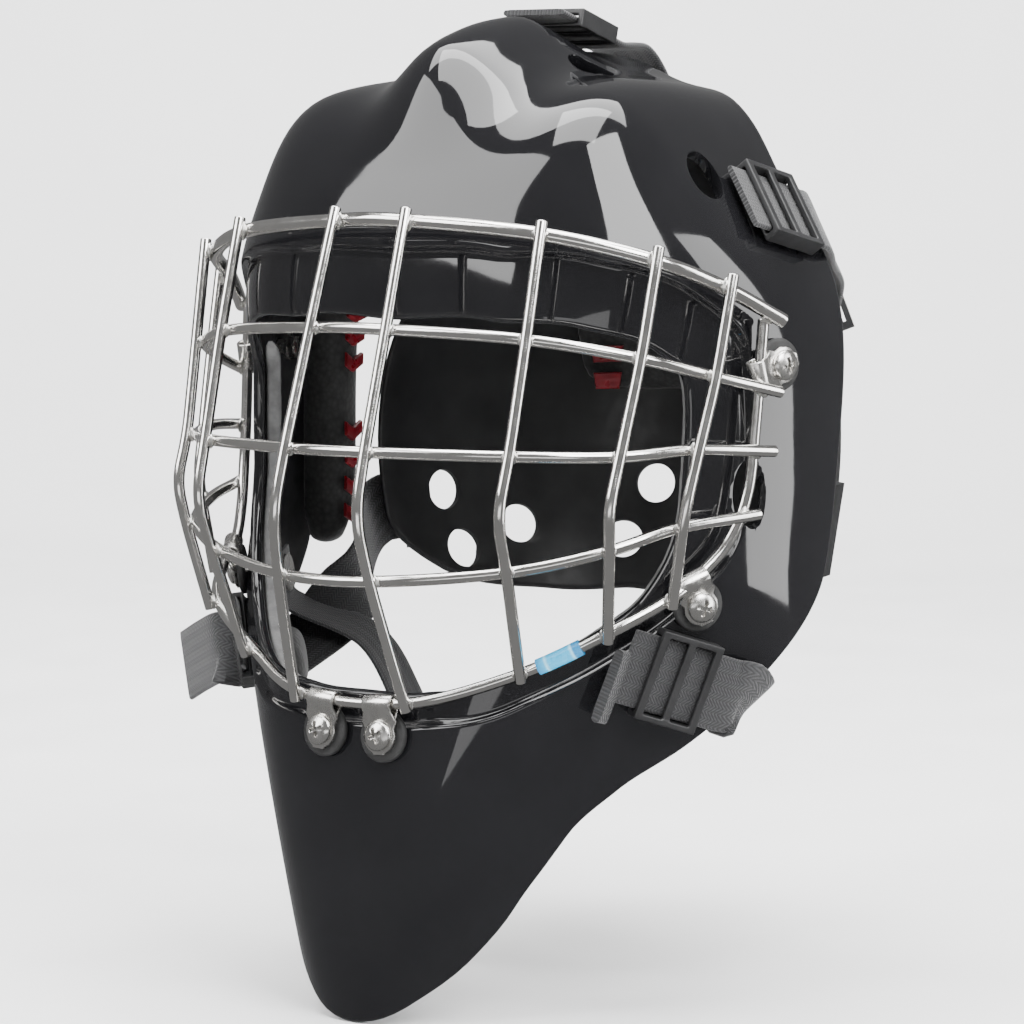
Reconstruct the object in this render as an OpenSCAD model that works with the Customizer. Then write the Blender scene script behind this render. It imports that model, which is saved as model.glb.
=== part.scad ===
// Ice hockey goalie mask: moulded shell, welded wire cage, padding, backplate and harness.
// Millimetres. +X is the wearer's left, the face looks along -Y, +Z is up.
// The origin lies in the head cavity, on the middle plane, behind the eye opening.

/* [Shell] */
// Half of the shell's width at the ears
half_width = 98; // [90:1:106]
// Height of the crown above the head centre, without the ridges
crown_rise = 122; // [114:1:128]
// Reach of the forehead in front of the head centre
brow_reach = 107; // [102:1:112]
// Thickness of the moulded wall
wall = 3.6; // [2.8:0.2:4.4]
// Height of the central crown ridge
mid_ridge = 14; // [6:1:18]
// Height of the two side crown ridges
side_ridge = 10; // [4:1:13]
// Depth of the recessed band round the eye opening
recess = 2.6; // [1:0.2:3.4]

/* [Holes] */
// Radius of the ear holes, front to back
ear_hole_r = 5; // [3.5:0.5:6]
// Radius of the temple vents
temple_vent_r = 7; // [4:0.5:8.5]
// Radius of the crown vents
crown_vent_r = 6; // [4:0.5:8]

/* [Cage] */
// Diameter of the cage wire
wire_d = 3.4; // [3:0.1:4]
// Diameter of the thicker top bar
top_bar_d = 4.3; // [3.6:0.1:5]
// Depth the wires sink into each other at a weld
weld_depth = 0.4; // [0.2:0.1:0.8]

/* [Clips] */
// Diameter of the clip screws' heads
screw_head_d = 8.8; // [7.6:0.1:9.6]
// Diameter of the screws' shanks
screw_d = 4.6; // [4:0.1:5]
// Diameter of the rubber washers
washer_d = 15.4; // [13:0.2:17]
// Thickness of the rubber washers
washer_t = 2.4; // [1.6:0.2:3]
// Width of the steel bands
band_w = 9.6; // [7:0.2:10]

/* [Padding] */
// Thickness of the side pads
side_pad_t = 15; // [10:1:18]
// Thickness of the forehead pad
brow_pad_t = 11; // [7:1:13]
// Thickness of the backplate's pad
back_pad_t = 10; // [6:1:13]

/* [Backplate] */
// Half of the backplate's width
back_half_width = 78; // [73:1:80]
// Thickness of the backplate
back_wall = 2.8; // [2:0.2:3.6]
// Radius of the backplate's round vents
back_vent_r = 6.5; // [4:0.5:8]

/* [Harness] */
// Width of the webbing
strap_w = 22; // [20:1:25]
// Thickness of the webbing
strap_t = 1.8; // [1.4:0.1:2.2]

/* [Hidden] */
eye = [0, 30, 15];                 // head centre, from which the skin is measured
gap = 0.4;                         // air between neighbouring soft bodies
bed = 0.05;                        // depth by which bonded faces overlap
ring_n = 64;                       // points round each ring of the shell
tube_n = 10;                       // sides of a wire
ball_fn = 32;

// ---- small vector helpers ----
function unit(v) = v / norm(v);
function clamp01(t) = min(max(t, 0), 1);
function ease(a, b, x) = let (t = clamp01((x - a) / (b - a))) t * t * (3 - 2 * t);
function mix(a, b, t) = a + (b - a) * t;
function flip(p) = [-p[0], p[1], p[2]];
function side_of(p, s) = [s * p[0], p[1], p[2]];

// ---- outer skin, as a distance from the head centre along a direction ----
// flat facets of the skin: a point on each and its normal
facets = [[[90, 2, 87], [0.64, 0.08, 0.76]], [[-90, 2, 87], [-0.64, 0.08, 0.76]],
          [[55, -49, -80], [0.80, -0.58, -0.19]], [[-55, -49, -80], [-0.80, -0.58, -0.19]],
          [[0, -79.5, -57], [0, -1, 0.13]]];
facet_n = [for (f = facets) unit(f[1])];
facet_h = [for (i = [0:len(facets) - 1]) (facets[i][0] - eye) * facet_n[i]];
blend = 16;                        // sharpness of the facet edges

function body_r(d) =
  let (reach = d[1] > 0 ? 110
         : d[2] < -0.35 ? mix(132, 112, ease(-0.85, -0.35, d[2]))
         : mix(112, brow_reach, ease(-0.35, 0.3, d[2])),
       rise = mix(250, crown_rise, ease(-0.6, 0.6, d[2])),
       plan = d[2] < 0 ? mix(2.35, 2, ease(-0.38, 0, d[2])) : mix(2, 2.35, ease(0.25, 0.6, d[2])),
       level = pow(pow(abs(d[0]) / half_width, plan) + pow(abs(d[1]) / reach, plan), 1 / plan),
       q = pow(pow(level, 2.8) + pow(abs(d[2]) / rise, 2.8), 1 / 2.8),
       cuts = [for (i = [0:len(facets) - 1]) pow(max(d * facet_n[i] / facet_h[i], 0), blend)])
  pow(pow(q, blend) + cuts * [for (c = cuts) 1], -1 / blend);

function ridge_r(d, r) =
  d[2] <= 0.25 ? 0 :
  let (x = abs(d[0]) * r, tilt = atan2(-d[1], d[2]))
  ease(0.3, 0.6, d[2]) * (mid_ridge * exp(-pow(x / 17, 2)) * (1 - ease(27, 44, tilt)) * mix(0.25, 1, ease(0, 13, tilt))
    + side_ridge * exp(-pow((x - 52) / 17, 2)) * (1 - ease(26, 50, tilt)));

function skin_r(d) = let (r = body_r(d)) r + ridge_r(d, r);
function skin(d) = eye + d * skin_r(d);
function skin_n(d) =
  let (e = 0.006, a = unit(cross(d, abs(d[2]) < 0.9 ? [0, 0, 1] : [0, 1, 0])), b = cross(a, d))
  unit(cross(skin(unit(d + b * e)) - skin(unit(d - b * e)), skin(unit(d + a * e)) - skin(unit(d - a * e))));
// a point under the skin, by a depth along the skin's normal
function under(d, depth) = skin(d) - skin_n(d) * depth;
function toward(p) = unit(p - eye);
// direction by azimuth from the face towards the wearer's left, and height above the level
function aim(lon, lat) = [sin(lon) * cos(lat), -cos(lon) * cos(lat), sin(lat)];

// ---- edge loops, as the angle off the face axis against the turn about it ----
opening_pts = [[0, -66, 64], [35, -62, 62.5], [62, -50, 58.5], [76, -35, 52.5], [80, -25, 42],
               [79, -24, 22], [77, -25, 4], [69, -32, -16], [58, -44, -27], [42, -58, -36],
               [20, -72, -44], [0, -76, -46.5]];
band_pts = [[0, -64, 84], [35, -62, 83], [62, -50, 79], [82, -26, 68], [88, -10, 52],
            [87, -8, 22], [84, -10, 2], [74, -25, -19], [60, -42, -33], [43, -57, -42.5],
            [20, -72, -51], [0, -76, -53.5]];
rim_pts = [[0, 55, 139], [30, 49, 132], [58, 37, 115], [80, 36, 86], [95, 33, 62], [95, 27, 20],
           [92, 21, -12], [80, -2, -38], [70, -19, -55], [58, -33, -66], [50, -45, -81],
           [43, -53, -97], [38, -61, -113], [32, -69, -126], [18, -76, -134], [0, -79, -137]];

function turn_of(p) = let (d = p - eye, a = atan2(d[0], d[2])) a < -0.001 ? a + 360 : a;
function polar_of(p) = acos(-toward(p)[1]);
function loop_of(pts) = [for (p = pts) [turn_of(p), polar_of(p)]];
opening_loop = loop_of(opening_pts);
band_loop = loop_of(band_pts);
rim_loop = loop_of(rim_pts);

// slope-limited cubic through the points of a loop
function slope(q, i) = (q[i + 1][1] - q[i][1]) / (q[i + 1][0] - q[i][0]);
function tangent(q, i) =
  i == 0 || i == len(q) - 1 ? 0
  : let (a = slope(q, i - 1), b = slope(q, i)) a * b <= 0 ? 0 : 2 * a * b / (a + b);
function along(q, x, i = 0) =
  i >= len(q) - 2 || x <= q[i + 1][0]
  ? let (h = q[i + 1][0] - q[i][0], t = clamp01((x - q[i][0]) / h),
         m0 = tangent(q, i) * h, m1 = tangent(q, i + 1) * h)
    q[i][1] * (2 * t * t * t - 3 * t * t + 1) + m0 * (t * t * t - 2 * t * t + t)
    + q[i + 1][1] * (3 * t * t - 2 * t * t * t) + m1 * (t * t * t - t * t)
  : along(q, x, i + 1);
function half_turn(a) = a <= 180 ? a : 360 - a;
function ray(turn, polar) = [sin(polar) * sin(turn), -cos(polar), sin(polar) * cos(turn)];

// rows of the shell: the recessed band, its step, then the open surface out to the rim
band_rows = [0, 0.45, 0.86, 1];
main_rows = 15;
function shell_dir(turn, k) =
  let (m = half_turn(turn), a = along(opening_loop, m), b = along(band_loop, m), c = along(rim_loop, m))
  ray(turn, k < len(band_rows) ? mix(a, b, band_rows[k]) : mix(b, c, (k - len(band_rows) + 1) / main_rows));
function shell_drop(k) = k <= 2 ? recess : 0;
shell_rows = len(band_rows) + main_rows;

// closed body between two stacks of rings, both running the same way round
function ring_faces(n, rows) = concat(
  [for (k = [0:rows - 2], i = [0:n - 1]) let (j = (i + 1) % n)
    [k * n + i, (k + 1) * n + i, (k + 1) * n + j, k * n + j]],
  [for (k = [0:rows - 2], i = [0:n - 1]) let (j = (i + 1) % n, o = rows * n)
    [o + k * n + i, o + k * n + j, o + (k + 1) * n + j, o + (k + 1) * n + i]],
  [for (i = [0:n - 1]) let (j = (i + 1) % n, o = rows * n) [i, j, o + j, o + i]],
  [for (i = [0:n - 1]) let (j = (i + 1) % n, o = rows * n, l = (rows - 1) * n)
    [l + i, o + l + i, o + l + j, l + j]]);
function halves(f) = [for (q = f) each (len(q) == 3 ? [q] : [[q[0], q[1], q[2]], [q[0], q[2], q[3]]])];

module shell_body() {
  dirs = [for (k = [0:shell_rows - 1], i = [0:ring_n - 1]) [i * 360 / ring_n, k]];
  outer = [for (s = dirs) under(shell_dir(s[0], s[1]), shell_drop(s[1]))];
  inner = [for (s = dirs) under(shell_dir(s[0], s[1]), wall + shell_drop(s[1]))];
  polyhedron(concat(outer, inner), halves(ring_faces(ring_n, shell_rows)), convexity = 10);
}

// straight cutter across the wall at a direction, oval by its two radii
module cutter(d, rx, rz, long = 16) {
  p = skin(d);
  n = skin_n(d);
  u = unit(cross([0, 0, 1], n));
  w = cross(n, u);
  hull() multmatrix([[u[0], w[0], n[0], p[0]], [u[1], w[1], n[1], p[1]], [u[2], w[2], n[2], p[2]]])
    scale([rx, rz, 1]) translate([0, 0, -long / 2]) cylinder(r = 1, h = long, $fn = ball_fn);
}

ear_at = toward([88, -8, 10.5]);
temple_at = toward([71, -6, 100]);
crown_at = toward([27, 2, 134]);
clip_screws_at = [[10.4, -77, -57.4], [78, -23.1, -18.3], [90, 0, 46.6]];

module shell() color([0.02, 0.02, 0.022]) difference() {
  shell_body();
  for (s = [-1, 1]) {
    cutter(side_of(ear_at, s), ear_hole_r, ear_hole_r * 1.95);
    cutter(side_of(temple_at, s), temple_vent_r, temple_vent_r * 1.15);
    cutter(side_of(crown_at, s), crown_vent_r, crown_vent_r * 1.35);
    for (p = clip_screws_at) cutter(side_of(toward(p), s), screw_d / 2 + 0.3, screw_d / 2 + 0.3, 14);
  }
}

// ---- wires ----
function frame_at(path, i) =
  let (n = len(path), a = i == 0 ? path[1] - path[0] : i == n - 1 ? path[n - 1] - path[n - 2]
       : unit(path[i] - path[i - 1]) + unit(path[i + 1] - path[i])) unit(a);
function tube_pts(path, r, n, up) = [for (i = [0:len(path) - 1]) let (t = frame_at(path, i),
    a = unit(cross(t, up)), b = cross(a, t)) for (k = [0:n - 1])
    path[i] + a * r * cos(k * 360 / n) + b * r * sin(k * 360 / n)];
module tube(path, r, up = [0, 0, 1], n = tube_n) {
  m = len(path);
  polyhedron(concat(tube_pts(path, r, n, up), [path[0], path[m - 1]]), concat(
    [for (i = [0:m - 2], k = [0:n - 1]) let (j = (k + 1) % n)
      each [[i * n + k, i * n + j, (i + 1) * n + j], [i * n + k, (i + 1) * n + j, (i + 1) * n + k]]],
    [for (k = [0:n - 1]) [m * n, (k + 1) % n, k]],
    [for (k = [0:n - 1]) [m * n + 1, (m - 1) * n + k, (m - 1) * n + (k + 1) % n]]), convexity = 6);
}
// Catmull-Rom curve through points, m steps a span
function curve(p, m) = let (n = len(p)) concat([for (i = [0:n - 2], s = [0:m - 1]) let (t = s / m,
    a = i == 0 ? 2 * p[0] - p[1] : p[i - 1], b = p[i], c = p[i + 1],
    e = i + 2 > n - 1 ? 2 * p[n - 1] - p[n - 2] : p[i + 2])
    0.5 * (2 * b + (c - a) * t + (2 * a - 5 * b + 4 * c - e) * t * t + (3 * b - a - 3 * c + e) * t * t * t)],
    [p[n - 1]]);
function mirrored(p) = concat([for (i = [len(p) - 1:-1:0]) flip(p[i])], p);
// both halves of a curve that crosses the middle plane square to it
function both(p) = concat([for (i = [len(p) - 1:-1:1]) flip(p[i])], p);

// uprights, half of the cage: top, bars 1 and 2, bend, bar 3, foot
upright_pts = [
  [[12.7, -71.6, 89], [13.5, -81.5, 58.5], [14.2, -92.6, 24.5], [14.6, -97.5, 6.8], [16.3, -93.3, -11.9], [19.9, -81, -49.2]],
  [[54.2, -63.7, 85.6], [54.7, -71.3, 56.4], [54.5, -79.3, 24.2], [53.9, -84.3, 7.6], [53, -78.3, -8.4], [49.7, -66.9, -40]],
  [[81.6, -46, 78.5], [80.3, -52, 51.2], [78.1, -59.2, 23.9], [77.9, -64.4, 10.1], [76.5, -62, -2.5], [72.1, -56.1, -28.4]],
  [[93, -25, 70.4], [92, -31, 45.7], [90, -37, 25], [88.8, -41, 11.2], [87.5, -41.5, 3], [83.4, -40.3, -19.4]]];
function outward(p) = unit([p[0] / 100, (p[1] - 5) / 88, 0]);
function inboard(p, gap_to) = p - outward(p) * gap_to;
bar_in = wire_d - weld_depth;
top_in = (wire_d + top_bar_d) / 2 - weld_depth;
function bar_path(k, in, tip) = let (half = [for (i = [0:3]) inboard(upright_pts[i][k], in)])
  curve(mirrored(concat(half, [tip])), 4);

module upright(i, s) {
  p = upright_pts[i];
  over = unit(p[0] - p[1]) * 4;
  foot = unit(p[5] - p[4]) * 0.6;
  color([0.8, 0.8, 0.82])
    tube([for (q = [p[0] + over, p[1], p[2], p[3], p[4], p[5] + foot]) side_of(q, s)], wire_d / 2, [s, 0, 0.01]);
}
module cage_top_bar() color([0.8, 0.8, 0.82]) tube(bar_path(0, top_in, [99.3, -6.4, 60.5]), top_bar_d / 2);
module cage_cross_bar_1() color([0.8, 0.8, 0.82]) tube(bar_path(1, bar_in, [98.5, -6.4, 40.2]), wire_d / 2);
module cage_cross_bar_2() color([0.8, 0.8, 0.82]) tube(bar_path(2, bar_in, [97.8, -8.4, 23.4]), wire_d / 2);
module cage_cross_bar_3() color([0.8, 0.8, 0.82]) tube(bar_path(4, bar_in, [95.7, -13.4, 5.6]), wire_d / 2);

rim_half = concat([for (p = upright_pts) inboard(p[5], bar_in) + unit(p[4] - p[5]) * wire_d / 2],
  [[84.8, -28.3, -11.4], [89.6, -19.3, -1.3], [92.4, -14.4, 12], [93.2, -12, 30], [94.3, -9.4, 61.2]]);
rim_step = 6;                      // points on each span of the rim wire
rim_path = curve(mirrored(rim_half), rim_step);
module cage_rim_wire() color([0.8, 0.8, 0.82]) tube(rim_path, wire_d / 2, [0, 1, 0.01]);

// the label is a thin sleeve on the rim wire between two uprights on the wearer's left
wrap_from = 10 * rim_step + 1;
wrap_path = [for (i = [0:3]) rim_path[wrap_from + i]];
module rim_label() color([0.1, 0.45, 0.75]) {
  sleeve_r = wire_d / 2 + 0.15;
  m = len(wrap_path);
  n = tube_n * 2;
  outer = tube_pts(wrap_path, sleeve_r + 0.6, n, [0, 1, 0.01]);
  inner = tube_pts(wrap_path, sleeve_r, n, [0, 1, 0.01]);
  polyhedron(concat(outer, inner), halves([for (q = ring_faces(n, m)) [q[0], q[3], q[2], q[1]]]), convexity = 6);
}

// ---- cage clips: screw, tab and band, set square to the skin at each screw ----
// nearest point of the rim wire to a screw, and the wire's run there
function near_i(p, i = 0, best = 0) = i >= len(rim_path) ? best
  : near_i(p, i + 1, norm(rim_path[i] - p) < norm(rim_path[best] - p) ? i : best);
function wire_run(p) = let (i = near_i(p)) unit(rim_path[i + 1] - rim_path[i - 1]);
function wire_at(p) = let (q = rim_path[near_i(p)], r = wire_run(p)) q + r * ((skin(toward(p)) - q) * r);
// frame at a screw: u points to the wire, w runs along it, n stands on the skin
module seat(p) {
  o = skin(toward(p));
  n = skin_n(toward(p));
  r = wire_run(p);
  a = unit(r - n * (r * n));
  w = a * (cross(a, n) * (wire_at(p) - o) > 0 ? 1 : -1);
  u = cross(w, n);
  multmatrix([[u[0], w[0], n[0], o[0]], [u[1], w[1], n[1], o[1]], [u[2], w[2], n[2], o[2]]]) children();
}
function wire_lift(p) = (wire_at(p) - skin(toward(p))) * skin_n(toward(p));
function wire_span(p) = let (v = wire_at(p) - skin(toward(p))) norm(v - skin_n(toward(p)) * wire_lift(p));
function wire_tilt(p) = let (n = skin_n(toward(p)), r = wire_run(p), a = r - n * (r * n), o = skin(toward(p)),
    s = cross(unit(a), n) * (wire_at(p) - o) > 0 ? 1 : -1) s * atan2(r * n, norm(a));
tab_t = 1;
tab_r = 5.4;
band_t = 0.8;
bore_r = wire_d / 2 + 0.6;         // inside of the loop round the wire
tab_low = washer_t + 0.1;
head_low = tab_low + tab_t + 0.05;
dome_h = 1.6;                      // height of the screw head's domed top
dome_r = (pow(screw_head_d / 2, 2) + dome_h * dome_h) / (2 * dome_h) + 0.02;
// a cylinder along the wire at a clip
module on_wire(p, r, long) translate([wire_span(p), 0, wire_lift(p)]) rotate([wire_tilt(p), 0, 0])
  rotate([90, 0, 0]) translate([0, 0, -long / 2]) cylinder(r = r, h = long, $fn = 48);

module clip(p) {
  side = wire_span(p) - bore_r - band_t;     // near side of the loop
  seat(p) difference() {
    union() {
      translate([0, 0, tab_low]) cylinder(r = tab_r, h = tab_t, $fn = 48);
      translate([0, -band_w / 2 + 0.05, tab_low]) cube([side + band_t / 2, band_w - 0.1, tab_t]);
      on_wire(p, bore_r + band_t, band_w);
    }
    on_wire(p, bore_r, band_w * 2);
    translate([0, 0, -1]) cylinder(r = screw_d / 2 + 0.25, h = tab_low + 4, $fn = 48);
  }
}
module screw(p) {
  seat(p) {
    difference() {
      union() {
        translate([0, 0, head_low]) cylinder(r = screw_head_d / 2, h = 1.2, $fn = 48);
        intersection() {
          translate([0, 0, head_low + 1.2 + dome_h - dome_r]) sphere(r = dome_r, $fn = 48);
          translate([0, 0, head_low + 1.2]) cylinder(r = screw_head_d / 2, h = dome_h, $fn = 48);
        }
      }
      for (a = [20, 110]) rotate([0, 0, a]) translate([-2.6, -0.55, head_low + 1.2]) cube([5.2, 1.1, 3]);
    }
    translate([0, 0, -wall - 6.4]) cylinder(r = screw_d / 2, h = wall + 6.4 + head_low + 0.2, $fn = 48);
  }
}
module washer(p) {
  seat(p) difference() {
    translate([0, 0, 0.35]) cylinder(r = washer_d / 2, h = washer_t - 0.35, $fn = 48);
    cylinder(r = screw_d / 2 + 0.25, h = washer_t + 1, $fn = 48);
    translate([wire_span(p) - bore_r - band_t - 0.3, -washer_d, -1]) cube([washer_d, 2 * washer_d, washer_t + 3]);
  }
}
nut_t = 2.6;
nut_gap = 3.3;                     // from the wall's inner face, which is curved, to the nut
module nut(p) {
  seat(p) translate([0, 0, -wall - nut_gap - nut_t]) difference() {
    union() {
      cylinder(r = 3.9, h = nut_t, $fn = 6);
      translate([0, 0, nut_t - 0.8]) cylinder(r = 4.1, h = 0.8, $fn = 48);
    }
    translate([0, 0, -1]) cylinder(r = screw_d / 2 - 0.02, h = nut_t + 2, $fn = 48);
  }
}
module each_clip() for (s = [-1, 1], p = clip_screws_at) let ($p = side_of(p, s)) children();
module cage_clips() color([0.75, 0.75, 0.77]) each_clip() clip($p);
module clip_screws() color([0.75, 0.75, 0.77]) each_clip() screw($p);
module clip_washers() color([0.05, 0.05, 0.05]) each_clip() washer($p);
module clip_nuts() color([0.6, 0.6, 0.6]) each_clip() nut($p);

// ---- soft pads: a rounded patch under a surface, plump in the middle ----
// rows of a pad: share of its outline, and share of its thickness
pad_rows = [[0.5, 0], [1, 0], [1, 0.4], [0.95, 0.78], [0.78, 0.97], [0.4, 1]];
pad_n = 24;
function pad_round(a, e = 4) = let (c = abs(cos(a)), s = abs(sin(a))) 1 / pow(pow(c, e) + pow(s, e), 1 / e);
function pad_dir(c, u, w, a, s) = unit(c + (u * cos(a) + w * sin(a)) * pad_round(a) * s);
function stack_faces(n, rows) = let (b = rows * n) concat(
  [for (k = [0:rows - 2], i = [0:n - 1]) let (j = (i + 1) % n)
    each [[k * n + i, k * n + j, (k + 1) * n + j], [k * n + i, (k + 1) * n + j, (k + 1) * n + i]]],
  [for (i = [0:n - 1]) [b, (i + 1) % n, i]],
  [for (i = [0:n - 1]) let (l = (rows - 1) * n) [b + 1, l + i, l + (i + 1) % n]]);
// c is the pad's middle direction, u and w its half sizes as tangents
module pad(c, u, w, depth, thick) {
  pts = concat([for (r = pad_rows, i = [0:pad_n - 1]) under(pad_dir(c, u, w, i * 360 / pad_n, r[0]), depth + thick * r[1])],
    [under(c, depth), under(c, depth + thick)]);
  polyhedron(pts, [for (f = stack_faces(pad_n, len(pad_rows))) [f[0], f[2], f[1]]], convexity = 6);
}
// tangents of a direction: level and rising
function level_at(c) = unit(cross([0, 0, 1], c));
function rise_at(c) = cross(c, level_at(c));
pad_depth = wall + 2 * gap;
side_c = aim(84.5, 9);
jaw_c = aim(46, -33);
brow_c = aim(0, 37.5);
crown_c = toward([0, 18, 130]);
module side_pad() pad(side_c, level_at(side_c) * tan(6), rise_at(side_c) * tan(29), pad_depth, side_pad_t);
module forehead_pad() color([0.06, 0.06, 0.065]) pad(brow_c, level_at(brow_c) * tan(35), rise_at(brow_c) * tan(7.5), pad_depth + recess, brow_pad_t);
module crown_pad() color([0.06, 0.06, 0.065]) pad(crown_c, [1, 0, 0] * tan(20), unit(cross(crown_c, [1, 0, 0])) * tan(11), pad_depth + 6, 9);
module jaw_pad() pad(jaw_c, level_at(jaw_c) * tan(9), rise_at(jaw_c) * tan(5), pad_depth, 12);

// foam lining along the lower edge of the eye opening
trim_turns = [for (i = [0:36]) 66 + i * (294 - 66) / 36];
trim_section = [[0.25, 0], [2.1, 0], [2.1, 3.2], [1.6, 4.4], [0.8, 4.4], [0.25, 3.2]];
module opening_trim() color([0.12, 0.12, 0.13]) {
  n = len(trim_section);
  m = len(trim_turns);
  pts = [for (t = trim_turns, q = trim_section)
    under(ray(t, along(opening_loop, half_turn(t)) + q[0]), wall + recess + gap + q[1])];
  polyhedron(pts, concat(
    [for (i = [0:m - 2], k = [0:n - 1]) let (j = (k + 1) % n)
      each [[i * n + k, (i + 1) * n + j, i * n + j], [i * n + k, (i + 1) * n + k, (i + 1) * n + j]]],
    [[for (k = [0:n - 1]) k], [for (k = [n - 1:-1:0]) (m - 1) * n + k]]), convexity = 6);
}

// thin moulded gel plates, each a four-sided plate lying on a pad
module plate(c, u, w, depth, thick) {
  pts = [for (k = [0, 1], q = [[-1, -1], [1, -1], [1, 1], [-1, 1]]) under(unit(c + u * q[0] + w * q[1]), depth - bed + (thick + bed) * k)];
  polyhedron(pts, halves([[0, 3, 2, 1], [4, 5, 6, 7], [0, 1, 5, 4], [1, 2, 6, 5], [2, 3, 7, 6], [3, 0, 4, 7]]), convexity = 2);
}
gel_heights = [-12, -7, -2, 3, 16, 21, 26];
module gel_side(s) for (h = gel_heights) {
  c = aim(84.5, h);
  l = level_at(c);
  pad_face = pad_depth + side_pad_t;
  mirror([s < 0 ? 1 : 0, 0, 0]) plate(c, l * tan(3.2) , rise_at(c) * tan(1.9) , pad_face + gap / 4, 1.2);
}

// ---- backplate: a rear cap with its own smooth surface ----
back_eye = [0, 28, 20];
back_reach = 98;
function back_r(d) = 1 / pow(pow(abs(d[0]) / back_half_width, 2.2) + pow(abs(d[1]) / back_reach, 2.2)
  + pow(abs(d[2]) / (d[2] > 0 ? 100 : 96), 2.2), 1 / 2.2);
function back_pt(d) = back_eye + d * back_r(d);
function back_n(d) =
  let (e = 0.01, a = unit(cross(d, abs(d[2]) < 0.9 ? [0, 0, 1] : [0, 1, 0])), b = cross(a, d), p = back_pt(d))
  unit(cross(back_pt(unit(d + b * e)) - p, back_pt(unit(d + a * e)) - p));
function back_under(d, depth) = back_pt(d) - back_n(d) * depth;
function back_ray(turn, polar) = [sin(polar) * sin(turn), cos(polar), sin(polar) * cos(turn)];
function back_toward(p) = unit(p - back_eye);
back_pts = [[0, 68, 112], [26, 70, 107], [50, 62, 92], [68, 48, 68], [76, 38, 42], [77, 35, 15], [76, 36, -8],
            [66, 56, -26], [48, 90, -35], [25, 112, -38], [0, 118, -39]];
back_loop = [for (p = back_pts) let (d = p - back_eye, a = atan2(d[0], d[2])) [a < -0.001 ? a + 360 : a, acos(back_toward(p)[1])]];
back_rows = 7;
back_ring_n = 40;
function back_dir(turn, k) = back_ray(turn, along(back_loop, half_turn(turn)) * k / back_rows);
back_vents = [[25, 120, -1], [33, 112, -20], [58, 86, -13], [68, 60, 0], [64, 64, -19], [30, 105, 88], [50, 90, 70]];
module back_disc(out_d, in_d, share) {
  n = back_ring_n;
  rows = back_rows;
  outer = [for (k = [1:rows], i = [0:n - 1]) back_under(back_ray(i * 360 / n, along(back_loop, half_turn(i * 360 / n)) * share * k / rows), out_d)];
  inner = [for (k = [rows:-1:1], i = [0:n - 1]) back_under(back_ray(i * 360 / n, along(back_loop, half_turn(i * 360 / n)) * share * k / rows), in_d)];
  polyhedron(concat(outer, inner, [back_under([0, 1, 0], out_d), back_under([0, 1, 0], in_d)]),
    stack_faces(n, 2 * rows), convexity = 10);
}
module back_cutter(p, r) {
  d = back_toward(p);
  q = back_pt(d);
  n = back_n(d);
  u = unit(cross([0, 0, 1], n));
  w = cross(n, u);
  hull() multmatrix([[u[0], w[0], n[0], q[0]], [u[1], w[1], n[1], q[1]], [u[2], w[2], n[2], q[2]]])
    translate([0, 0, -8]) cylinder(r = r, h = 16, $fn = ball_fn);
}
module backplate() color([0.03, 0.03, 0.032]) difference() {
  back_disc(0, back_wall, 1);
  for (s = [-1, 1], p = back_vents) back_cutter(side_of(p, s), back_vent_r);
}
module back_pad(c, u, w, depth, thick) {
  pts = concat([for (r = pad_rows, i = [0:pad_n - 1]) back_under(pad_dir(c, u, w, i * 360 / pad_n, r[0]), depth + thick * r[1])],
    [back_under(c, depth), back_under(c, depth + thick)]);
  polyhedron(pts, [for (f = stack_faces(pad_n, len(pad_rows))) [f[0], f[2], f[1]]], convexity = 6);
}
back_pad_c = unit([0, 1, 0.33]);
module backplate_pad() color([0.06, 0.06, 0.065])
  back_pad(back_pad_c, [tan(33), 0, 0], unit([0, -0.33, 1]) * tan(13), back_wall + 2 * gap, back_pad_t);
gel_back_at = [[[-43, 118, 36], 6.5, 3.6], [[-43, 118, 47], 7.5, 3.6]];
module gel_back() color([0.45, 0.03, 0.05]) for (s = [-1, 1], g = gel_back_at) {
  c = back_toward(side_of(g[0], s));
  l = unit(cross([0, 0, 1], c));
  w = cross(c, l);
  d0 = back_wall + 2 * gap + back_pad_t + gap / 4;
  pts = [for (k = [0, 1], q = [[-1, -1], [1, -1], [1, 1], [-1, 1]])
    back_under(unit(c + l * tan(g[1] / 2 + q[1] * 0.3) * q[0] + w * tan(g[2] / 2) * q[1]), d0 + 1.4 * k)];
  polyhedron(pts, halves([[0, 3, 2, 1], [4, 5, 6, 7], [0, 1, 5, 4], [1, 2, 6, 5], [2, 3, 7, 6], [3, 0, 4, 7]]), convexity = 2);
}

// ---- webbing: a flat ribbon along stations of [point, direction across it] ----
module ribbon(s, w = strap_w, t = strap_t) {
  m = len(s);
  path = [for (q = s) q[0]];
  pts = [for (i = [0:m - 1]) let (a = unit(s[i][1]) * w / 2, n = unit(cross(frame_at(path, i), s[i][1])) * t / 2)
    each [path[i] - a - n, path[i] + a - n, path[i] + a + n, path[i] - a + n]];
  polyhedron(pts, concat(
    [for (i = [0:m - 2], k = [0:3]) let (j = (k + 1) % 4)
      each [[i * 4 + k, i * 4 + j, (i + 1) * 4 + j], [i * 4 + k, (i + 1) * 4 + j, (i + 1) * 4 + k]]],
    [[3, 2, 1, 0], [for (k = [0:3]) (m - 1) * 4 + k]]), convexity = 6);
}
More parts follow.
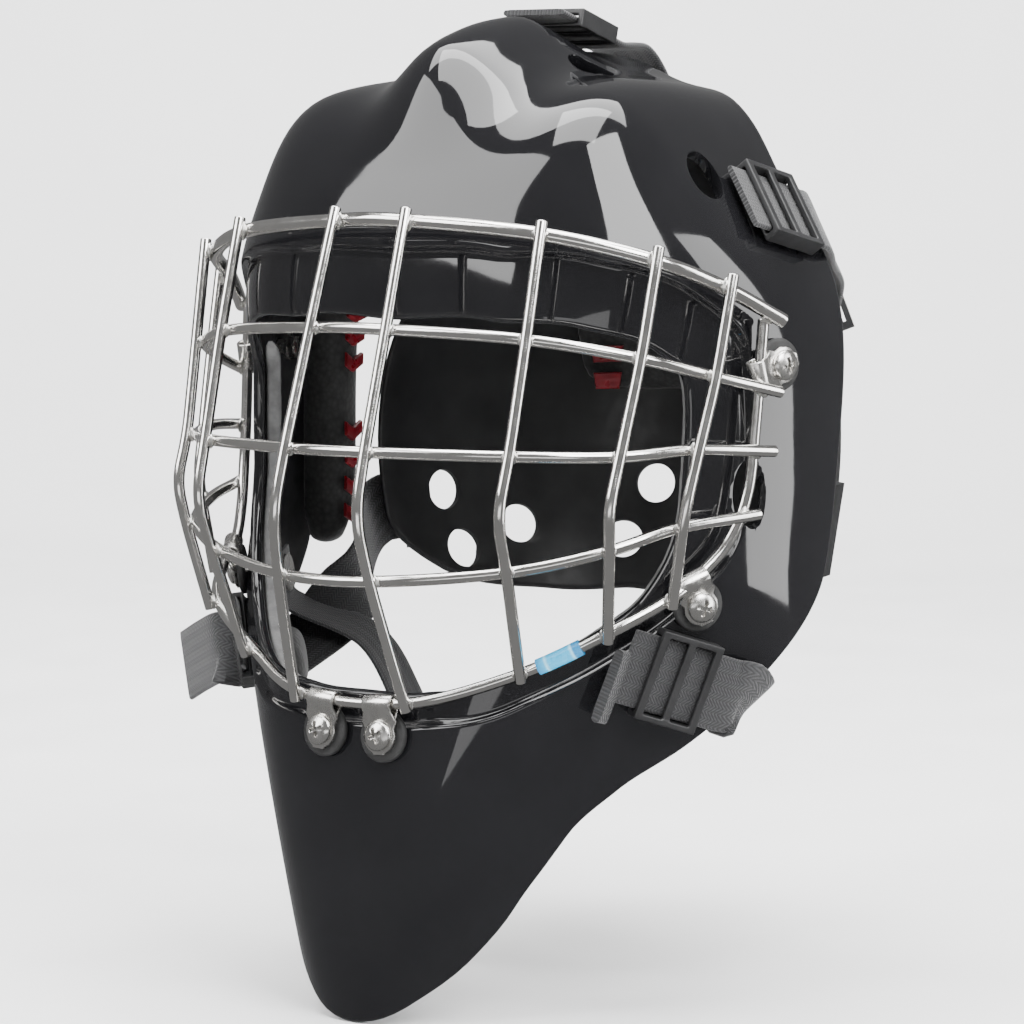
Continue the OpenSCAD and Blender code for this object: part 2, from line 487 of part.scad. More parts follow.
// a straight run of webbing over the skin, held up so that a buckle passes under it
lift = 3.2;
crown_lift = 6.2;                  // the crown run stands over the rear slope of the ridge
run_half = 17;
function run_mid(p) = let (d = toward(p)) skin(d) + skin_n(d) * (p[0] == 0 ? crown_lift : lift);
function run_dir(p, q) = let (n = skin_n(toward(p)), v = q - p) unit(v - n * (v * n));
function run_across(p, q) = cross(skin_n(toward(p)), run_dir(p, q));

// middles of the runs, and the points they head for
crown_run = [0, 26, 140];
crown_aim = [0, 60, 134];
upper_run = [80, 17, 90];
upper_aim = [82, 40, 84];
lower_run = [73.2, -27.2, -38.8];
lower_aim = [88.2, -3.1, -48];

function run_ends(p, q) = [for (k = [-1, 0, 1]) run_mid(p) + run_dir(p, q) * run_half * k];
function webbing(p, q, tail) = let (a = run_across(p, q)) concat([for (e = run_ends(p, q)) [e, a]], tail);
plate_gap = strap_t / 2 + 1;     // from the backplate's face to the middle of the webbing
function on_plate(p) = let (d = back_toward(p)) back_pt(d) + back_n(d) * plate_gap;

crown_tail = [[[0, 60, 140.5], [-1, 0, 0]], [[0, 73, 128], [-1, 0, 0]], [on_plate([0, 80, 109]), [-1, 0, 0]], [on_plate([0, 90, 98]), [-1, 0, 0]]];
upper_tail = [[[80, 47, 84], [-0.35, -0.15, 0.92]], [[73, 62, 78], [-0.45, -0.1, 0.88]],
              [on_plate([60, 74, 66]), [-0.4, -0.1, 0.9]], [on_plate([54, 84, 62]), [-0.4, -0.1, 0.9]]];
lower_tail = [[[89.5, -12.1, -47.8], [-0.42, -0.63, -0.65]], [[88.5, -8.1, -51.1], [-0.42, -0.63, -0.65]],
              [[82.3, -5.4, -49.8], [-0.42, -0.63, -0.65]], [[73, 16, -29], [-0.1, -0.3, -0.95]],
              [[79, 35, -9], [-0.1, 0, -1]], [on_plate([76, 46, -5]), [-0.1, 0, -1]], [on_plate([70, 58, -3]), [-0.1, 0, -1]]];
module crown_strap() color([0.04, 0.04, 0.04]) ribbon(webbing(crown_run, crown_aim, crown_tail));
module upper_strap() color([0.04, 0.04, 0.04]) ribbon(webbing(upper_run, upper_aim, upper_tail));
module lower_strap() color([0.04, 0.04, 0.04]) ribbon(webbing(lower_run, lower_aim, lower_tail));

// buckle: a frame that encloses the webbing, with a bar over its middle
buckle_len = 20;
buckle_wall = 1.8;
play = 0.5;                        // air between webbing and buckle
module buckle(p, q, long = buckle_len) {
  o = run_mid(p);
  t = run_dir(p, q);
  a = run_across(p, q);
  n = cross(t, a) * (cross(t, a) * skin_n(toward(p)) > 0 ? 1 : -1);
  b = cross(n, t);
  inner_w = strap_w + 2 * play;
  inner_h = strap_t + 2 * play;
  low = 1.1;
  multmatrix([[t[0], b[0], n[0], o[0]], [t[1], b[1], n[1], o[1]], [t[2], b[2], n[2], o[2]]])
    difference() {
      translate([-long / 2, -inner_w / 2 - buckle_wall, -inner_h / 2 - low])
        cube([long, inner_w + 2 * buckle_wall, inner_h + low + buckle_wall]);
      translate([-long, -inner_w / 2, -inner_h / 2]) cube([2 * long, inner_w, inner_h]);
      for (k = [-1, 1]) translate([k * long / 4 - long / 8, -inner_w / 2 + 1, -inner_h]) cube([long / 4, inner_w - 2, inner_h * 4]);
    }
}
module crown_adjuster() color([0.05, 0.05, 0.05]) buckle(crown_run, crown_aim);
module upper_adjuster() color([0.05, 0.05, 0.05]) buckle(upper_run, upper_aim, 22);
module lower_buckle() color([0.05, 0.05, 0.05]) buckle(lower_run, lower_aim);

// loose ends of the lower webbing: a folded end that stands off the jaw, and one that swings out
fold_t = strap_t * 1.9;
tail_drop = 7;                     // keeps the ends under the rim wire
module strap_tail_left() color([0.04, 0.04, 0.04]) {
  n = skin_n(toward(lower_run));
  s = run_ends(lower_run, lower_aim)[0] - [0, 0, tail_drop];
  t = run_dir(lower_run, lower_aim);
  a = run_across(lower_run, lower_aim);
  ribbon([[s - t * 3 + n * 0.6, a], [s - t * 4.5 + n, a], [s - t * 6.5 + n * 2, a]], strap_w, fold_t);
}
module strap_tail_right() color([0.04, 0.04, 0.04]) {
  p = lower_run;
  s = flip(run_ends(p, lower_aim)[0]) - [0, 0, tail_drop];
  t = flip(run_dir(p, lower_aim));
  a = flip(run_across(p, lower_aim));
  ribbon([[s - t * 3, a], [s - t * 8 + [-1, 0, -1], a], [s - t * 14 + [-8, 4, -2], a], [s - t * 16 + [-18, 9, -6], a],
    [s - t * 15 + [-27, 12, -10], a]]);
}

// bridges that hold the ends of the webbing on the backplate
module bridge(p, a) {
  d = back_toward(p);
  o = back_pt(d);
  n = back_n(d);
  b = unit(a - n * (a * n));
  t = cross(b, n);
  leg = 2;
  in = strap_w / 2 + 1.4;
  multmatrix([[t[0], b[0], n[0], o[0]], [t[1], b[1], n[1], o[1]], [t[2], b[2], n[2], o[2]]]) {
    translate([-4, -in - leg, strap_t + 2.4]) cube([8, 2 * (in + leg), 1.6]);
    for (k = [-1, 1]) translate([-4, k > 0 ? in : -in - leg, -1.6]) cube([8, leg, strap_t + 4.2]);
  }
}
module strap_anchors() color([0.05, 0.05, 0.05]) {
  bridge([0, 87, 101], [1, 0, 0]);
  for (s = [-1, 1]) {
    bridge(side_of([56, 80, 64], s), side_of([-0.4, -0.1, 0.9], s));
    bridge(side_of([72, 54, -4], s), side_of([-0.1, 0, -1], s));
  }
}

// ---- chin cup hung from two snaps inside the jaw ----
snap_at = [82, -4, -20];
snap_d = toward(snap_at);
cup_c = [0, -22, -78];
cup_n = 20;
cup_half = 29;
cup_rise = 13;
cup_wall = 3;
function cup_pt(a, k, grow) = let (x = cos(a) * k, z = sin(a) * k)
  cup_c + [x * (cup_half + grow), (x * x * 24 + z * z * 7) - grow, z * (cup_rise + grow)];
module dish(grow, thick, share) {
  rows = 4;
  pts = concat(
    [for (k = [1:rows], i = [0:cup_n - 1]) cup_pt(i * 360 / cup_n, share * k / rows, grow)],
    [for (k = [rows:-1:1], i = [0:cup_n - 1]) cup_pt(i * 360 / cup_n, share * k / rows, grow) + [0, thick, 0]],
    [cup_c + [0, -grow, 0], cup_c + [0, thick - grow, 0]]);
  polyhedron(pts, [for (f = stack_faces(cup_n, 2 * rows)) [f[0], f[2], f[1]]], convexity = 6);
}
module chin_cup() color([0.04, 0.04, 0.04]) dish(0, cup_wall, 1);
module chin_cup_pad() color([0.07, 0.07, 0.07]) dish(-cup_wall - gap, 4, 0.9);
chin_w = 16;
snap_n = skin_n(snap_d);
snap_depth = wall + 1.8;           // outer face of the snaps, under the skin
chin_t = 1.1;
chin_down = unit([-0.25, 0.35, -1] - snap_n * ([-0.25, 0.35, -1] * snap_n));
chin_on = under(snap_d, snap_depth + 1.9);   // middle of the strap between a snap's two halves
chin_pts = [chin_on - chin_down * 7, chin_on + chin_down * 8, [61, 9, -43], [42, 5, -63], [27, -2.2, -77], [25.5, -3.6, -78]];
module chin_strap() color([0.04, 0.04, 0.04])
  ribbon([for (i = [0:5]) [chin_pts[i], i < 2 ? cross(snap_n, chin_down) : [-0.25, -0.85, -0.3]]], chin_w, chin_t);
module chin_snap() {
  d = snap_d;
  o = skin(d);
  n = skin_n(d);
  u = unit(cross([0, 0, 1], n));
  w = cross(n, u);
  multmatrix([[u[0], w[0], n[0], o[0]], [u[1], w[1], n[1], o[1]], [u[2], w[2], n[2], o[2]]]) {
    translate([0, 0, -snap_depth - 0.8]) cylinder(r = 5, h = 0.8, $fn = 48);
    translate([0, 0, -snap_depth - 3.7]) cylinder(r = 6, h = 0.7, $fn = 48);
  }
}
module chin_snaps() color([0.6, 0.6, 0.6]) { chin_snap(); mirror([1, 0, 0]) chin_snap(); }
module right() mirror([1, 0, 0]) children();

shell();
cage_top_bar();
cage_rim_wire();
cage_cross_bar_1();
cage_cross_bar_2();
cage_cross_bar_3();
upright(3, -1);  // cage_upright_1
upright(2, -1);  // cage_upright_2
upright(1, -1);  // cage_upright_3
upright(0, -1);  // cage_upright_4
upright(0, 1);  // cage_upright_5
upright(1, 1);  // cage_upright_6
upright(2, 1);  // cage_upright_7
upright(3, 1);  // cage_upright_8
rim_label();
cage_clips();
clip_screws();
clip_washers();
clip_nuts();
forehead_pad();
crown_pad();
color([0.06, 0.06, 0.065]) side_pad();  // side_pad_left
color([0.06, 0.06, 0.065]) right() side_pad();  // side_pad_right
color([0.06, 0.06, 0.065]) jaw_pad();  // jaw_pad_left
color([0.06, 0.06, 0.065]) right() jaw_pad();  // jaw_pad_right
opening_trim();
color([0.45, 0.03, 0.05]) gel_side(1);  // gel_side_left
color([0.45, 0.03, 0.05]) gel_side(-1);  // gel_side_right
backplate();
backplate_pad();
gel_back();
strap_anchors();
crown_strap();
crown_adjuster();
upper_strap();  // upper_strap_left
right() upper_strap();  // upper_strap_right
upper_adjuster();  // upper_adjuster_left
right() upper_adjuster();  // upper_adjuster_right
lower_strap();  // lower_strap_left
right() lower_strap();  // lower_strap_right
lower_buckle();  // lower_buckle_left
right() lower_buckle();  // lower_buckle_right
strap_tail_left();
strap_tail_right();
chin_cup();
chin_cup_pad();
chin_strap();  // chin_strap_left
right() chin_strap();  // chin_strap_right
chin_snaps();
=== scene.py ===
import math
import bpy, bmesh
import numpy as np
from mathutils import Vector, Matrix
from mathutils.bvhtree import BVHTree


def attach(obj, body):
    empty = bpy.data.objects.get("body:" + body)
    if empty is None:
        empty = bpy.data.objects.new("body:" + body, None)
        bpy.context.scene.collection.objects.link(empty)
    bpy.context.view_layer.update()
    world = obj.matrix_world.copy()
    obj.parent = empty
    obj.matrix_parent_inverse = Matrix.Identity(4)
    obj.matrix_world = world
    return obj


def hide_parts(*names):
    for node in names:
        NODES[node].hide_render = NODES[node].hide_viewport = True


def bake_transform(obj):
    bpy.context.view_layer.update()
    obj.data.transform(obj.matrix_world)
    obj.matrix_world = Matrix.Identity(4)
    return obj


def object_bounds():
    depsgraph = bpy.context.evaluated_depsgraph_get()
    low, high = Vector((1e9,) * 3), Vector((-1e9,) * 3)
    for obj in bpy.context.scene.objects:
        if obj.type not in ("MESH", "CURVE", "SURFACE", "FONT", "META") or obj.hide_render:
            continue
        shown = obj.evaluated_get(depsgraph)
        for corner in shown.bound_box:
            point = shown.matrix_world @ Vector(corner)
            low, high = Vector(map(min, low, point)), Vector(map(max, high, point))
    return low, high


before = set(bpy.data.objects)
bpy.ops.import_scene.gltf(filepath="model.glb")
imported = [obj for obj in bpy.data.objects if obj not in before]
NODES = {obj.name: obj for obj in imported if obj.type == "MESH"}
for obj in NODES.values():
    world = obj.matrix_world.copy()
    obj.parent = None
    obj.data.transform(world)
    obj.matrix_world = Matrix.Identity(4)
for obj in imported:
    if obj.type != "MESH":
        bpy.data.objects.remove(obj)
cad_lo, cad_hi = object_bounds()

MM = 0.001
SC = bpy.context.scene
COL = SC.collection

# ------------------------------------------------------------------ camera
AZ, EL = math.radians(35.0), math.radians(5.37)
BACK = Vector((math.sin(AZ) * math.cos(EL), -math.cos(AZ) * math.cos(EL), math.sin(EL)))
cam_data = bpy.data.cameras.new("cam")
cam_data.lens = 3811 / 1024 * 36
cam_data.sensor_width = 36
cam_data.clip_start, cam_data.clip_end = 0.05, 30
cam = bpy.data.objects.new("cam", cam_data)
COL.objects.link(cam)
cam.location = BACK * 1.155
cam.rotation_mode = "QUATERNION"
cam.rotation_quaternion = (-BACK).to_track_quat("-Z", "Y")
SC.camera = cam

# ------------------------------------------------------------------ the skin, as in the CAD (millimetres)
EYE = np.array([0, 30, 15.0])
HALF_W, CROWN, BROW, MID_H, SIDE_H = 98.0, 122.0, 107.0, 14.0, 10.0
WALL, RECESS = 3.6, 2.6


def unit(v):
    v = np.asarray(v, float)
    return v / np.linalg.norm(v, axis=-1, keepdims=True)


def ease(a, b, x):
    t = np.clip((x - a) / (b - a), 0, 1)
    return t * t * (3 - 2 * t)


def mix(a, b, t):
    return a + (b - a) * t


FACETS = [((90, 2, 87), (0.64, 0.08, 0.76)), ((-90, 2, 87), (-0.64, 0.08, 0.76)),
          ((55, -49, -80), (0.80, -0.58, -0.19)), ((-55, -49, -80), (-0.80, -0.58, -0.19)),
          ((0, -79.5, -57), (0, -1, 0.13))]


def skin_r(d):
    dx, dy, dz = d[..., 0], d[..., 1], d[..., 2]
    reach = np.where(dy > 0, 110.0, np.where(dz < -0.35, mix(132, 112, ease(-0.85, -0.35, dz)),
                                             mix(112, BROW, ease(-0.35, 0.3, dz))))
    rise = mix(250, CROWN, ease(-0.6, 0.6, dz))
    plan = np.where(dz < 0, mix(2.35, 2, ease(-0.38, 0, dz)), mix(2, 2.35, ease(0.25, 0.6, dz)))
    level = ((np.abs(dx) / HALF_W) ** plan + (np.abs(dy) / reach) ** plan) ** (1 / plan)
    q = (level ** 2.8 + (np.abs(dz) / rise) ** 2.8) ** (1 / 2.8)
    s = q ** 16
    for p, n in FACETS:
        n = unit(n)
        s = s + np.maximum((d @ n) / ((np.array(p) - EYE) @ n), 0) ** 16
    r = s ** (-1 / 16)
    x, tilt = np.abs(dx) * r, np.degrees(np.arctan2(-dy, np.maximum(dz, 1e-6)))
    ridge = ease(0.3, 0.6, dz) * (MID_H * np.exp(-(x / 17) ** 2) * (1 - ease(27, 44, tilt))
                                  * mix(0.25, 1, ease(0, 13, tilt))
                                  + SIDE_H * np.exp(-((x - 52) / 17) ** 2) * (1 - ease(26, 50, tilt)))
    return r + np.where(dz > 0.25, ridge, 0)


def skin(d):
    return EYE + d * skin_r(d)[..., None]


def skin_n(d):
    e = 0.004
    up = np.where(np.abs(d[..., 2:3]) < 0.9, np.array([0, 0, 1.0]), np.array([0, 1.0, 0]))
    a = unit(np.cross(d, up))
    b = np.cross(a, d)
    return unit(np.cross(skin(unit(d + b * e)) - skin(unit(d - b * e)),
                         skin(unit(d + a * e)) - skin(unit(d - a * e))))


def under(d, depth):
    return (skin(d) - skin_n(d) * np.asarray(depth)[..., None] if np.ndim(depth)
            else skin(d) - skin_n(d) * depth)


def toward(p):
    return unit(np.asarray(p, float) - EYE)


def aim(lon, lat):
    lon, lat = math.radians(lon), math.radians(lat)
    return np.array([math.sin(lon) * math.cos(lat), -math.cos(lon) * math.cos(lat), math.sin(lat)])


OPENING = [[0, -66, 64], [35, -62, 62.5], [62, -50, 58.5], [76, -35, 52.5], [80, -25, 42],
           [79, -24, 22], [77, -25, 4], [69, -32, -16], [58, -44, -27], [42, -58, -36],
           [20, -72, -44], [0, -76, -46.5]]
BAND = [[0, -64, 84], [35, -62, 83], [62, -50, 79], [82, -26, 68], [88, -10, 52],
        [87, -8, 22], [84, -10, 2], [74, -25, -19], [60, -42, -33], [43, -57, -42.5],
        [20, -72, -51], [0, -76, -53.5]]
RIM = [[0, 55, 139], [30, 49, 132], [58, 37, 115], [80, 36, 86], [95, 33, 62], [95, 27, 20],
       [92, 21, -12], [80, -2, -38], [70, -19, -55], [58, -33, -66], [50, -45, -81],
       [43, -53, -97], [38, -61, -113], [32, -69, -126], [18, -76, -134], [0, -79, -137]]


def loop_of(pts, eye=EYE, s=-1):
    d = unit(np.array(pts, float) - eye)
    turn = np.degrees(np.arctan2(d[:, 0], d[:, 2]))
    turn = np.where(turn < -0.001, turn + 360, turn)
    return turn, np.degrees(np.arccos(np.clip(s * d[:, 1], -1, 1)))


def along(q, x):
    xs, ys = q
    x = np.asarray(x, float)
    h = np.diff(xs)
    m = np.diff(ys) / h
    t = np.zeros_like(ys)
    both = m[:-1] * m[1:] > 0
    t[1:-1] = np.where(both, 2 * m[:-1] * m[1:] / np.where(both, m[:-1] + m[1:], 1), 0)
    i = np.clip(np.searchsorted(xs, x, side="left") - 1, 0, len(xs) - 2)
    u = np.clip((x - xs[i]) / h[i], 0, 1)
    return (ys[i] * (2 * u ** 3 - 3 * u ** 2 + 1) + t[i] * h[i] * (u ** 3 - 2 * u ** 2 + u)
            + ys[i + 1] * (3 * u ** 2 - 2 * u ** 3) + t[i + 1] * h[i] * (u ** 3 - u ** 2))


def half_turn(a):
    a = np.mod(a, 360)
    return np.where(a <= 180, a, 360 - a)


def ray(turn, polar, s=-1):
    t, p = np.radians(turn), np.radians(polar)
    return np.stack([np.sin(p) * np.sin(t), s * np.cos(p), np.sin(p) * np.cos(t)], -1)


OPEN_L, BAND_L, RIM_L = loop_of(OPENING), loop_of(BAND), loop_of(RIM)


# ------------------------------------------------------------------ mesh helpers
def mesh_obj(name, verts, faces, mat=None, smooth=True, attrs=None):
    me = bpy.data.meshes.new(name)
    me.from_pydata([tuple(v) for v in np.asarray(verts, float) * MM], [],
                   [tuple(int(i) for i in f) for f in faces])
    me.validate()
    me.update()
    if attrs:
        for k, vals in attrs.items():
            a = me.attributes.new(k, "FLOAT", "POINT")
            a.data.foreach_set("value", np.asarray(vals, np.float32).ravel())
    o = bpy.data.objects.new(name, me)
    COL.objects.link(o)
    if mat:
        me.materials.append(mat)
    if smooth:
        for p in me.polygons:
            p.use_smooth = True
    return o


def join_parts(parts):
    """Several (verts, faces) as one."""
    vs, fs, n = [], [], 0
    for v, f in parts:
        vs.append(np.asarray(v, float))
        fs += [tuple(i + n for i in q) for q in f]
        n += len(v)
    return np.concatenate(vs), fs


def grid_faces(n, m, wrap_n=True, wrap_m=False):
    f = []
    for i in range(n if wrap_n else n - 1):
        j = (i + 1) % n
        for k in range(m if wrap_m else m - 1):
            l = (k + 1) % m
            f.append((i * m + k, i * m + l, j * m + l, j * m + k))
    return f


def fix_normals(o):
    bm = bmesh.new()
    bm.from_mesh(o.data)
    bmesh.ops.recalc_face_normals(bm, faces=bm.faces)
    bm.to_mesh(o.data)
    bm.free()
    return o


def sharpen(o, deg=35):
    o.data.set_sharp_from_angle(angle=math.radians(deg))
    return o


def bake_mods(o):
    """Applies the modifiers."""
    dg = bpy.context.evaluated_depsgraph_get()
    me = bpy.data.meshes.new_from_object(o.evaluated_get(dg))
    o.modifiers.clear()
    old = o.data
    o.data = me
    bpy.data.meshes.remove(old)
    return o


def catmull(p, m):
    p = np.asarray(p, float)
    out = []
    for i in range(len(p) - 1):
        a = 2 * p[0] - p[1] if i == 0 else p[i - 1]
        b, c = p[i], p[i + 1]
        e = 2 * p[-1] - p[-2] if i + 2 > len(p) - 1 else p[i + 2]
        for s in range(m):
            t = s / m
            out.append(0.5 * (2 * b + (c - a) * t + (2 * a - 5 * b + 4 * c - e) * t * t
                              + (3 * b - a - 3 * c + e) * t ** 3))
    out.append(p[-1])
    return np.array(out)


def tube(path, r, sides=20, end=0.5):
    """A round wire with slightly domed ends: verts and faces."""
    path = np.asarray(path, float)
    t = np.gradient(path, axis=0)
    t = unit(t)
    up = np.array([0.13, 0.21, 0.97])
    a = unit(np.cross(t[0], up))
    rings, frames = [], []
    for i in range(len(path)):
        a = a - t[i] * (a @ t[i])
        a = a / np.linalg.norm(a)
        frames.append((a.copy(), np.cross(t[i], a)))
    ang = np.linspace(0, 2 * np.pi, sides, endpoint=False)

    def ring(c, f, rr):
        return c + rr * (np.cos(ang)[:, None] * f[0] + np.sin(ang)[:, None] * f[1])
    stations = []
    for q, k in ((0, -1), (1, 1)):
        pass
    cap = [(0.30, 0.0), (0.72, 0.0), (0.90, 0.07), (0.98, 0.2), (1.0, 0.42)]
    for s, dz in cap:
        stations.append(ring(path[0] + t[0] * dz * end * r, frames[0], r * s))
    for i in range(1, len(path) - 1):
        stations.append(ring(path[i], frames[i], r))
    for s, dz in reversed(cap):
        stations.append(ring(path[-1] - t[-1] * dz * end * r, frames[-1], r * s))
    m = len(stations)
    v = np.concatenate(stations)
    f = []
    for k in range(m - 1):
        for i in range(sides):
            j = (i + 1) % sides
            f.append((k * sides + i, k * sides + j, (k + 1) * sides + j, (k + 1) * sides + i))
    f.append(tuple(range(sides - 1, -1, -1)))
    f.append(tuple((m - 1) * sides + i for i in range(sides)))
    return v, f


# ------------------------------------------------------------------ materials
def new_mat(name):
    m = bpy.data.materials.new(name)
    m.use_nodes = True
    nt = m.node_tree
    nt.nodes.clear()
    out = nt.nodes.new("ShaderNodeOutputMaterial")
    b = nt.nodes.new("ShaderNodeBsdfPrincipled")
    nt.links.new(b.outputs[0], out.inputs[0])
    return m, nt, b


def coords(nt, scale=(1, 1, 1)):
    tc = nt.nodes.new("ShaderNodeTexCoord")
    mp = nt.nodes.new("ShaderNodeMapping")
    mp.inputs["Scale"].default_value = scale
    nt.links.new(tc.outputs["Object"], mp.inputs[0])
    return mp.outputs[0]


def noise(nt, vec, scale, detail=3, rough=0.5):
    n = nt.nodes.new("ShaderNodeTexNoise")
    n.inputs["Scale"].default_value = scale
    n.inputs["Detail"].default_value = detail
    n.inputs["Roughness"].default_value = rough
    nt.links.new(vec, n.inputs["Vector"])
    return n.outputs["Fac"]


def ramp(nt, fac, stops):
    r = nt.nodes.new("ShaderNodeValToRGB")
    el = r.color_ramp.elements
    while len(el) < len(stops):
        el.new(0.5)
    for e, (p, c) in zip(el, stops):
        e.position = p
        e.color = (*c, 1) if len(c) == 3 else c
    nt.links.new(fac, r.inputs[0])
    return r.outputs[0]


def to_range(nt, fac, a, b, lo=0.0, hi=1.0):
    m = nt.nodes.new("ShaderNodeMapRange")
    m.inputs["From Min"].default_value = lo
    m.inputs["From Max"].default_value = hi
    m.inputs["To Min"].default_value = a
    m.inputs["To Max"].default_value = b
    nt.links.new(fac, m.inputs["Value"])
    return m.outputs[0]


def math_node(nt, op, a, b=None, clamp=False):
    m = nt.nodes.new("ShaderNodeMath")
    m.operation = op
    m.use_clamp = clamp
    for i, v in enumerate((a, b)):
        if v is None:
            continue
        if isinstance(v, (int, float)):
            m.inputs[i].default_value = v
        else:
            nt.links.new(v, m.inputs[i])
    return m.outputs[0]


def bump(nt, b, height, strength, dist, socket="Normal"):
    n = nt.nodes.new("ShaderNodeBump")
    n.inputs["Strength"].default_value = strength
    n.inputs["Distance"].default_value = dist
    nt.links.new(height, n.inputs["Height"])
    nt.links.new(n.outputs[0], b.inputs[socket])
    return n


def mat_gloss():
    m, nt, b = new_mat("gloss_black")
    v = coords(nt)
    c = ramp(nt, noise(nt, v, 35, 2), [(0.3, (0.0065, 0.0065, 0.0075)), (0.7, (0.0085, 0.0085, 0.0095))])
    nt.links.new(c, b.inputs["Base Color"])
    nt.links.new(to_range(nt, noise(nt, v, 90, 4), 0.035, 0.075, 0.3, 0.7), b.inputs["Roughness"])
    b.inputs["Specular IOR Level"].default_value = 0.5
    b.inputs["Coat Weight"].default_value = 0.3
    b.inputs["Coat Roughness"].default_value = 0.02
    bump(nt, b, noise(nt, v, 140, 2, 0.4), 0.05, 0.0004)
    return m


def mat_inner():
    m, nt, b = new_mat("inner_black")
    v = coords(nt)
    c = ramp(nt, noise(nt, v, 60, 4), [(0.3, (0.009, 0.009, 0.010)), (0.7, (0.018, 0.018, 0.019))])
    nt.links.new(c, b.inputs["Base Color"])
    nt.links.new(to_range(nt, noise(nt, v, 160, 4), 0.34, 0.55, 0.3, 0.7), b.inputs["Roughness"])
    bump(nt, b, noise(nt, v, 700, 4), 0.25, 0.0002)
    return m


def mat_steel(name, base, r0, r1, scratch=0.12, tint=0.06):
    m, nt, b = new_mat(name)
    v = coords(nt)
    lo = tuple(x * (1 - tint) for x in base)
    c = ramp(nt, noise(nt, v, 120, 3), [(0.3, lo), (0.7, base)])
    nt.links.new(c, b.inputs["Base Color"])
    b.inputs["Metallic"].default_value = 1.0
    fine = noise(nt, coords(nt, (1, 1, 0.2)), 1500, 3, 0.6)
    nt.links.new(to_range(nt, math_node(nt, "MULTIPLY", noise(nt, v, 260, 4),
                                        math_node(nt, "ADD", fine, 0.55)), r0, r1, 0.3, 0.7),
                                        b.inputs["Roughness"])
    bump(nt, b, fine, scratch, 0.00008)
    return m


def mat_rubber(name="rubber_black", base=0.018, rough=0.62, grain=900):
    m, nt, b = new_mat(name)
    v = coords(nt)
    c = ramp(nt, noise(nt, v, 200, 4), [(0.3, (base * 0.75,) * 3), (0.7, (base * 1.5,) * 3)])
    nt.links.new(c, b.inputs["Base Color"])
    nt.links.new(to_range(nt, noise(nt, v, 300, 3), rough - 0.1, rough + 0.12, 0.3, 0.7),
                 b.inputs["Roughness"])
    bump(nt, b, noise(nt, v, grain, 4), 0.5, 0.0003)
    return m


def mat_plastic(name="moulded_black", base=0.016, rough=0.42, grain=1400, strength=0.25):
    m, nt, b = new_mat(name)
    v = coords(nt)
    c = ramp(nt, noise(nt, v, 80, 3), [(0.3, (base * 0.8, base * 0.8, base * 0.84)),
                                       (0.7, (base * 1.3, base * 1.3, base * 1.36))])
    nt.links.new(c, b.inputs["Base Color"])
    nt.links.new(to_range(nt, noise(nt, v, 220, 4), rough - 0.08, rough + 0.1, 0.3, 0.7),
                 b.inputs["Roughness"])
    bump(nt, b, noise(nt, v, grain, 3), strength, 0.00012)
    return m


def attr(nt, name):
    a = nt.nodes.new("ShaderNodeAttribute")
    a.attribute_name = name
    return a.outputs["Fac"]


def wave1(nt, x, period, phase=0.0):
    """sin of a coordinate in millimetres, 0..1."""
    s = math_node(nt, "SINE", math_node(nt, "ADD", math_node(nt, "MULTIPLY", x, 2 * math.pi / period), phase))
    return math_node(nt, "ADD", math_node(nt, "MULTIPLY", s, 0.5), 0.5)


def mat_webbing():
    """Narrow woven tape: ribs across, a fine chevron along, from the ribbon's own across and along measures."""
    m, nt, b = new_mat("webbing_black")
    x, y = attr(nt, "across"), attr(nt, "along")
    zig = math_node(nt, "ABSOLUTE", math_node(nt, "SUBTRACT",
                                              math_node(nt, "MODULO", math_node(nt, "ADD", x, 50.0), 4.0),
                                              2.0))
    rib = wave1(nt, math_node(nt, "ADD", y, zig), 1.1)
    warp = wave1(nt, x, 1.3)
    h = math_node(nt, "MULTIPLY", rib, math_node(nt, "ADD", math_node(nt, "MULTIPLY", warp, 0.5), 0.5))
    v = coords(nt)
    fuzz = noise(nt, v, 2600, 3)
    h2 = math_node(nt, "ADD", h, math_node(nt, "MULTIPLY", fuzz, 0.5))
    c = ramp(nt, h2, [(0.1, (0.006, 0.006, 0.007)), (0.9, (0.030, 0.030, 0.032))])
    nt.links.new(c, b.inputs["Base Color"])
    nt.links.new(to_range(nt, fuzz, 0.72, 0.9, 0.3, 0.7), b.inputs["Roughness"])
    b.inputs["Sheen Weight"].default_value = 0.25
    b.inputs["Sheen Roughness"].default_value = 0.5
    bump(nt, b, h2, 0.55, 0.0003)
    return m


def mat_foam(name="foam_black", base=0.016):
    """Knit-faced foam."""
    m, nt, b = new_mat(name)
    v = coords(nt)
    vo = nt.nodes.new("ShaderNodeTexVoronoi")
    vo.inputs["Scale"].default_value = 620
    nt.links.new(v, vo.inputs["Vector"])
    cell = vo.outputs["Distance"]
    soft = noise(nt, v, 70, 4)
    c = ramp(nt, math_node(nt, "ADD", math_node(nt, "MULTIPLY", cell, 0.6),
                           math_node(nt, "MULTIPLY", soft, 0.4)),
             [(0.15, (base * 1.6,) * 3), (0.75, (base * 0.6,) * 3)])
    nt.links.new(c, b.inputs["Base Color"])
    nt.links.new(to_range(nt, soft, 0.7, 0.9, 0.3, 0.7), b.inputs["Roughness"])
    b.inputs["Sheen Weight"].default_value = 0.15
    bump(nt, b, cell, 0.5, 0.0003)
    return m


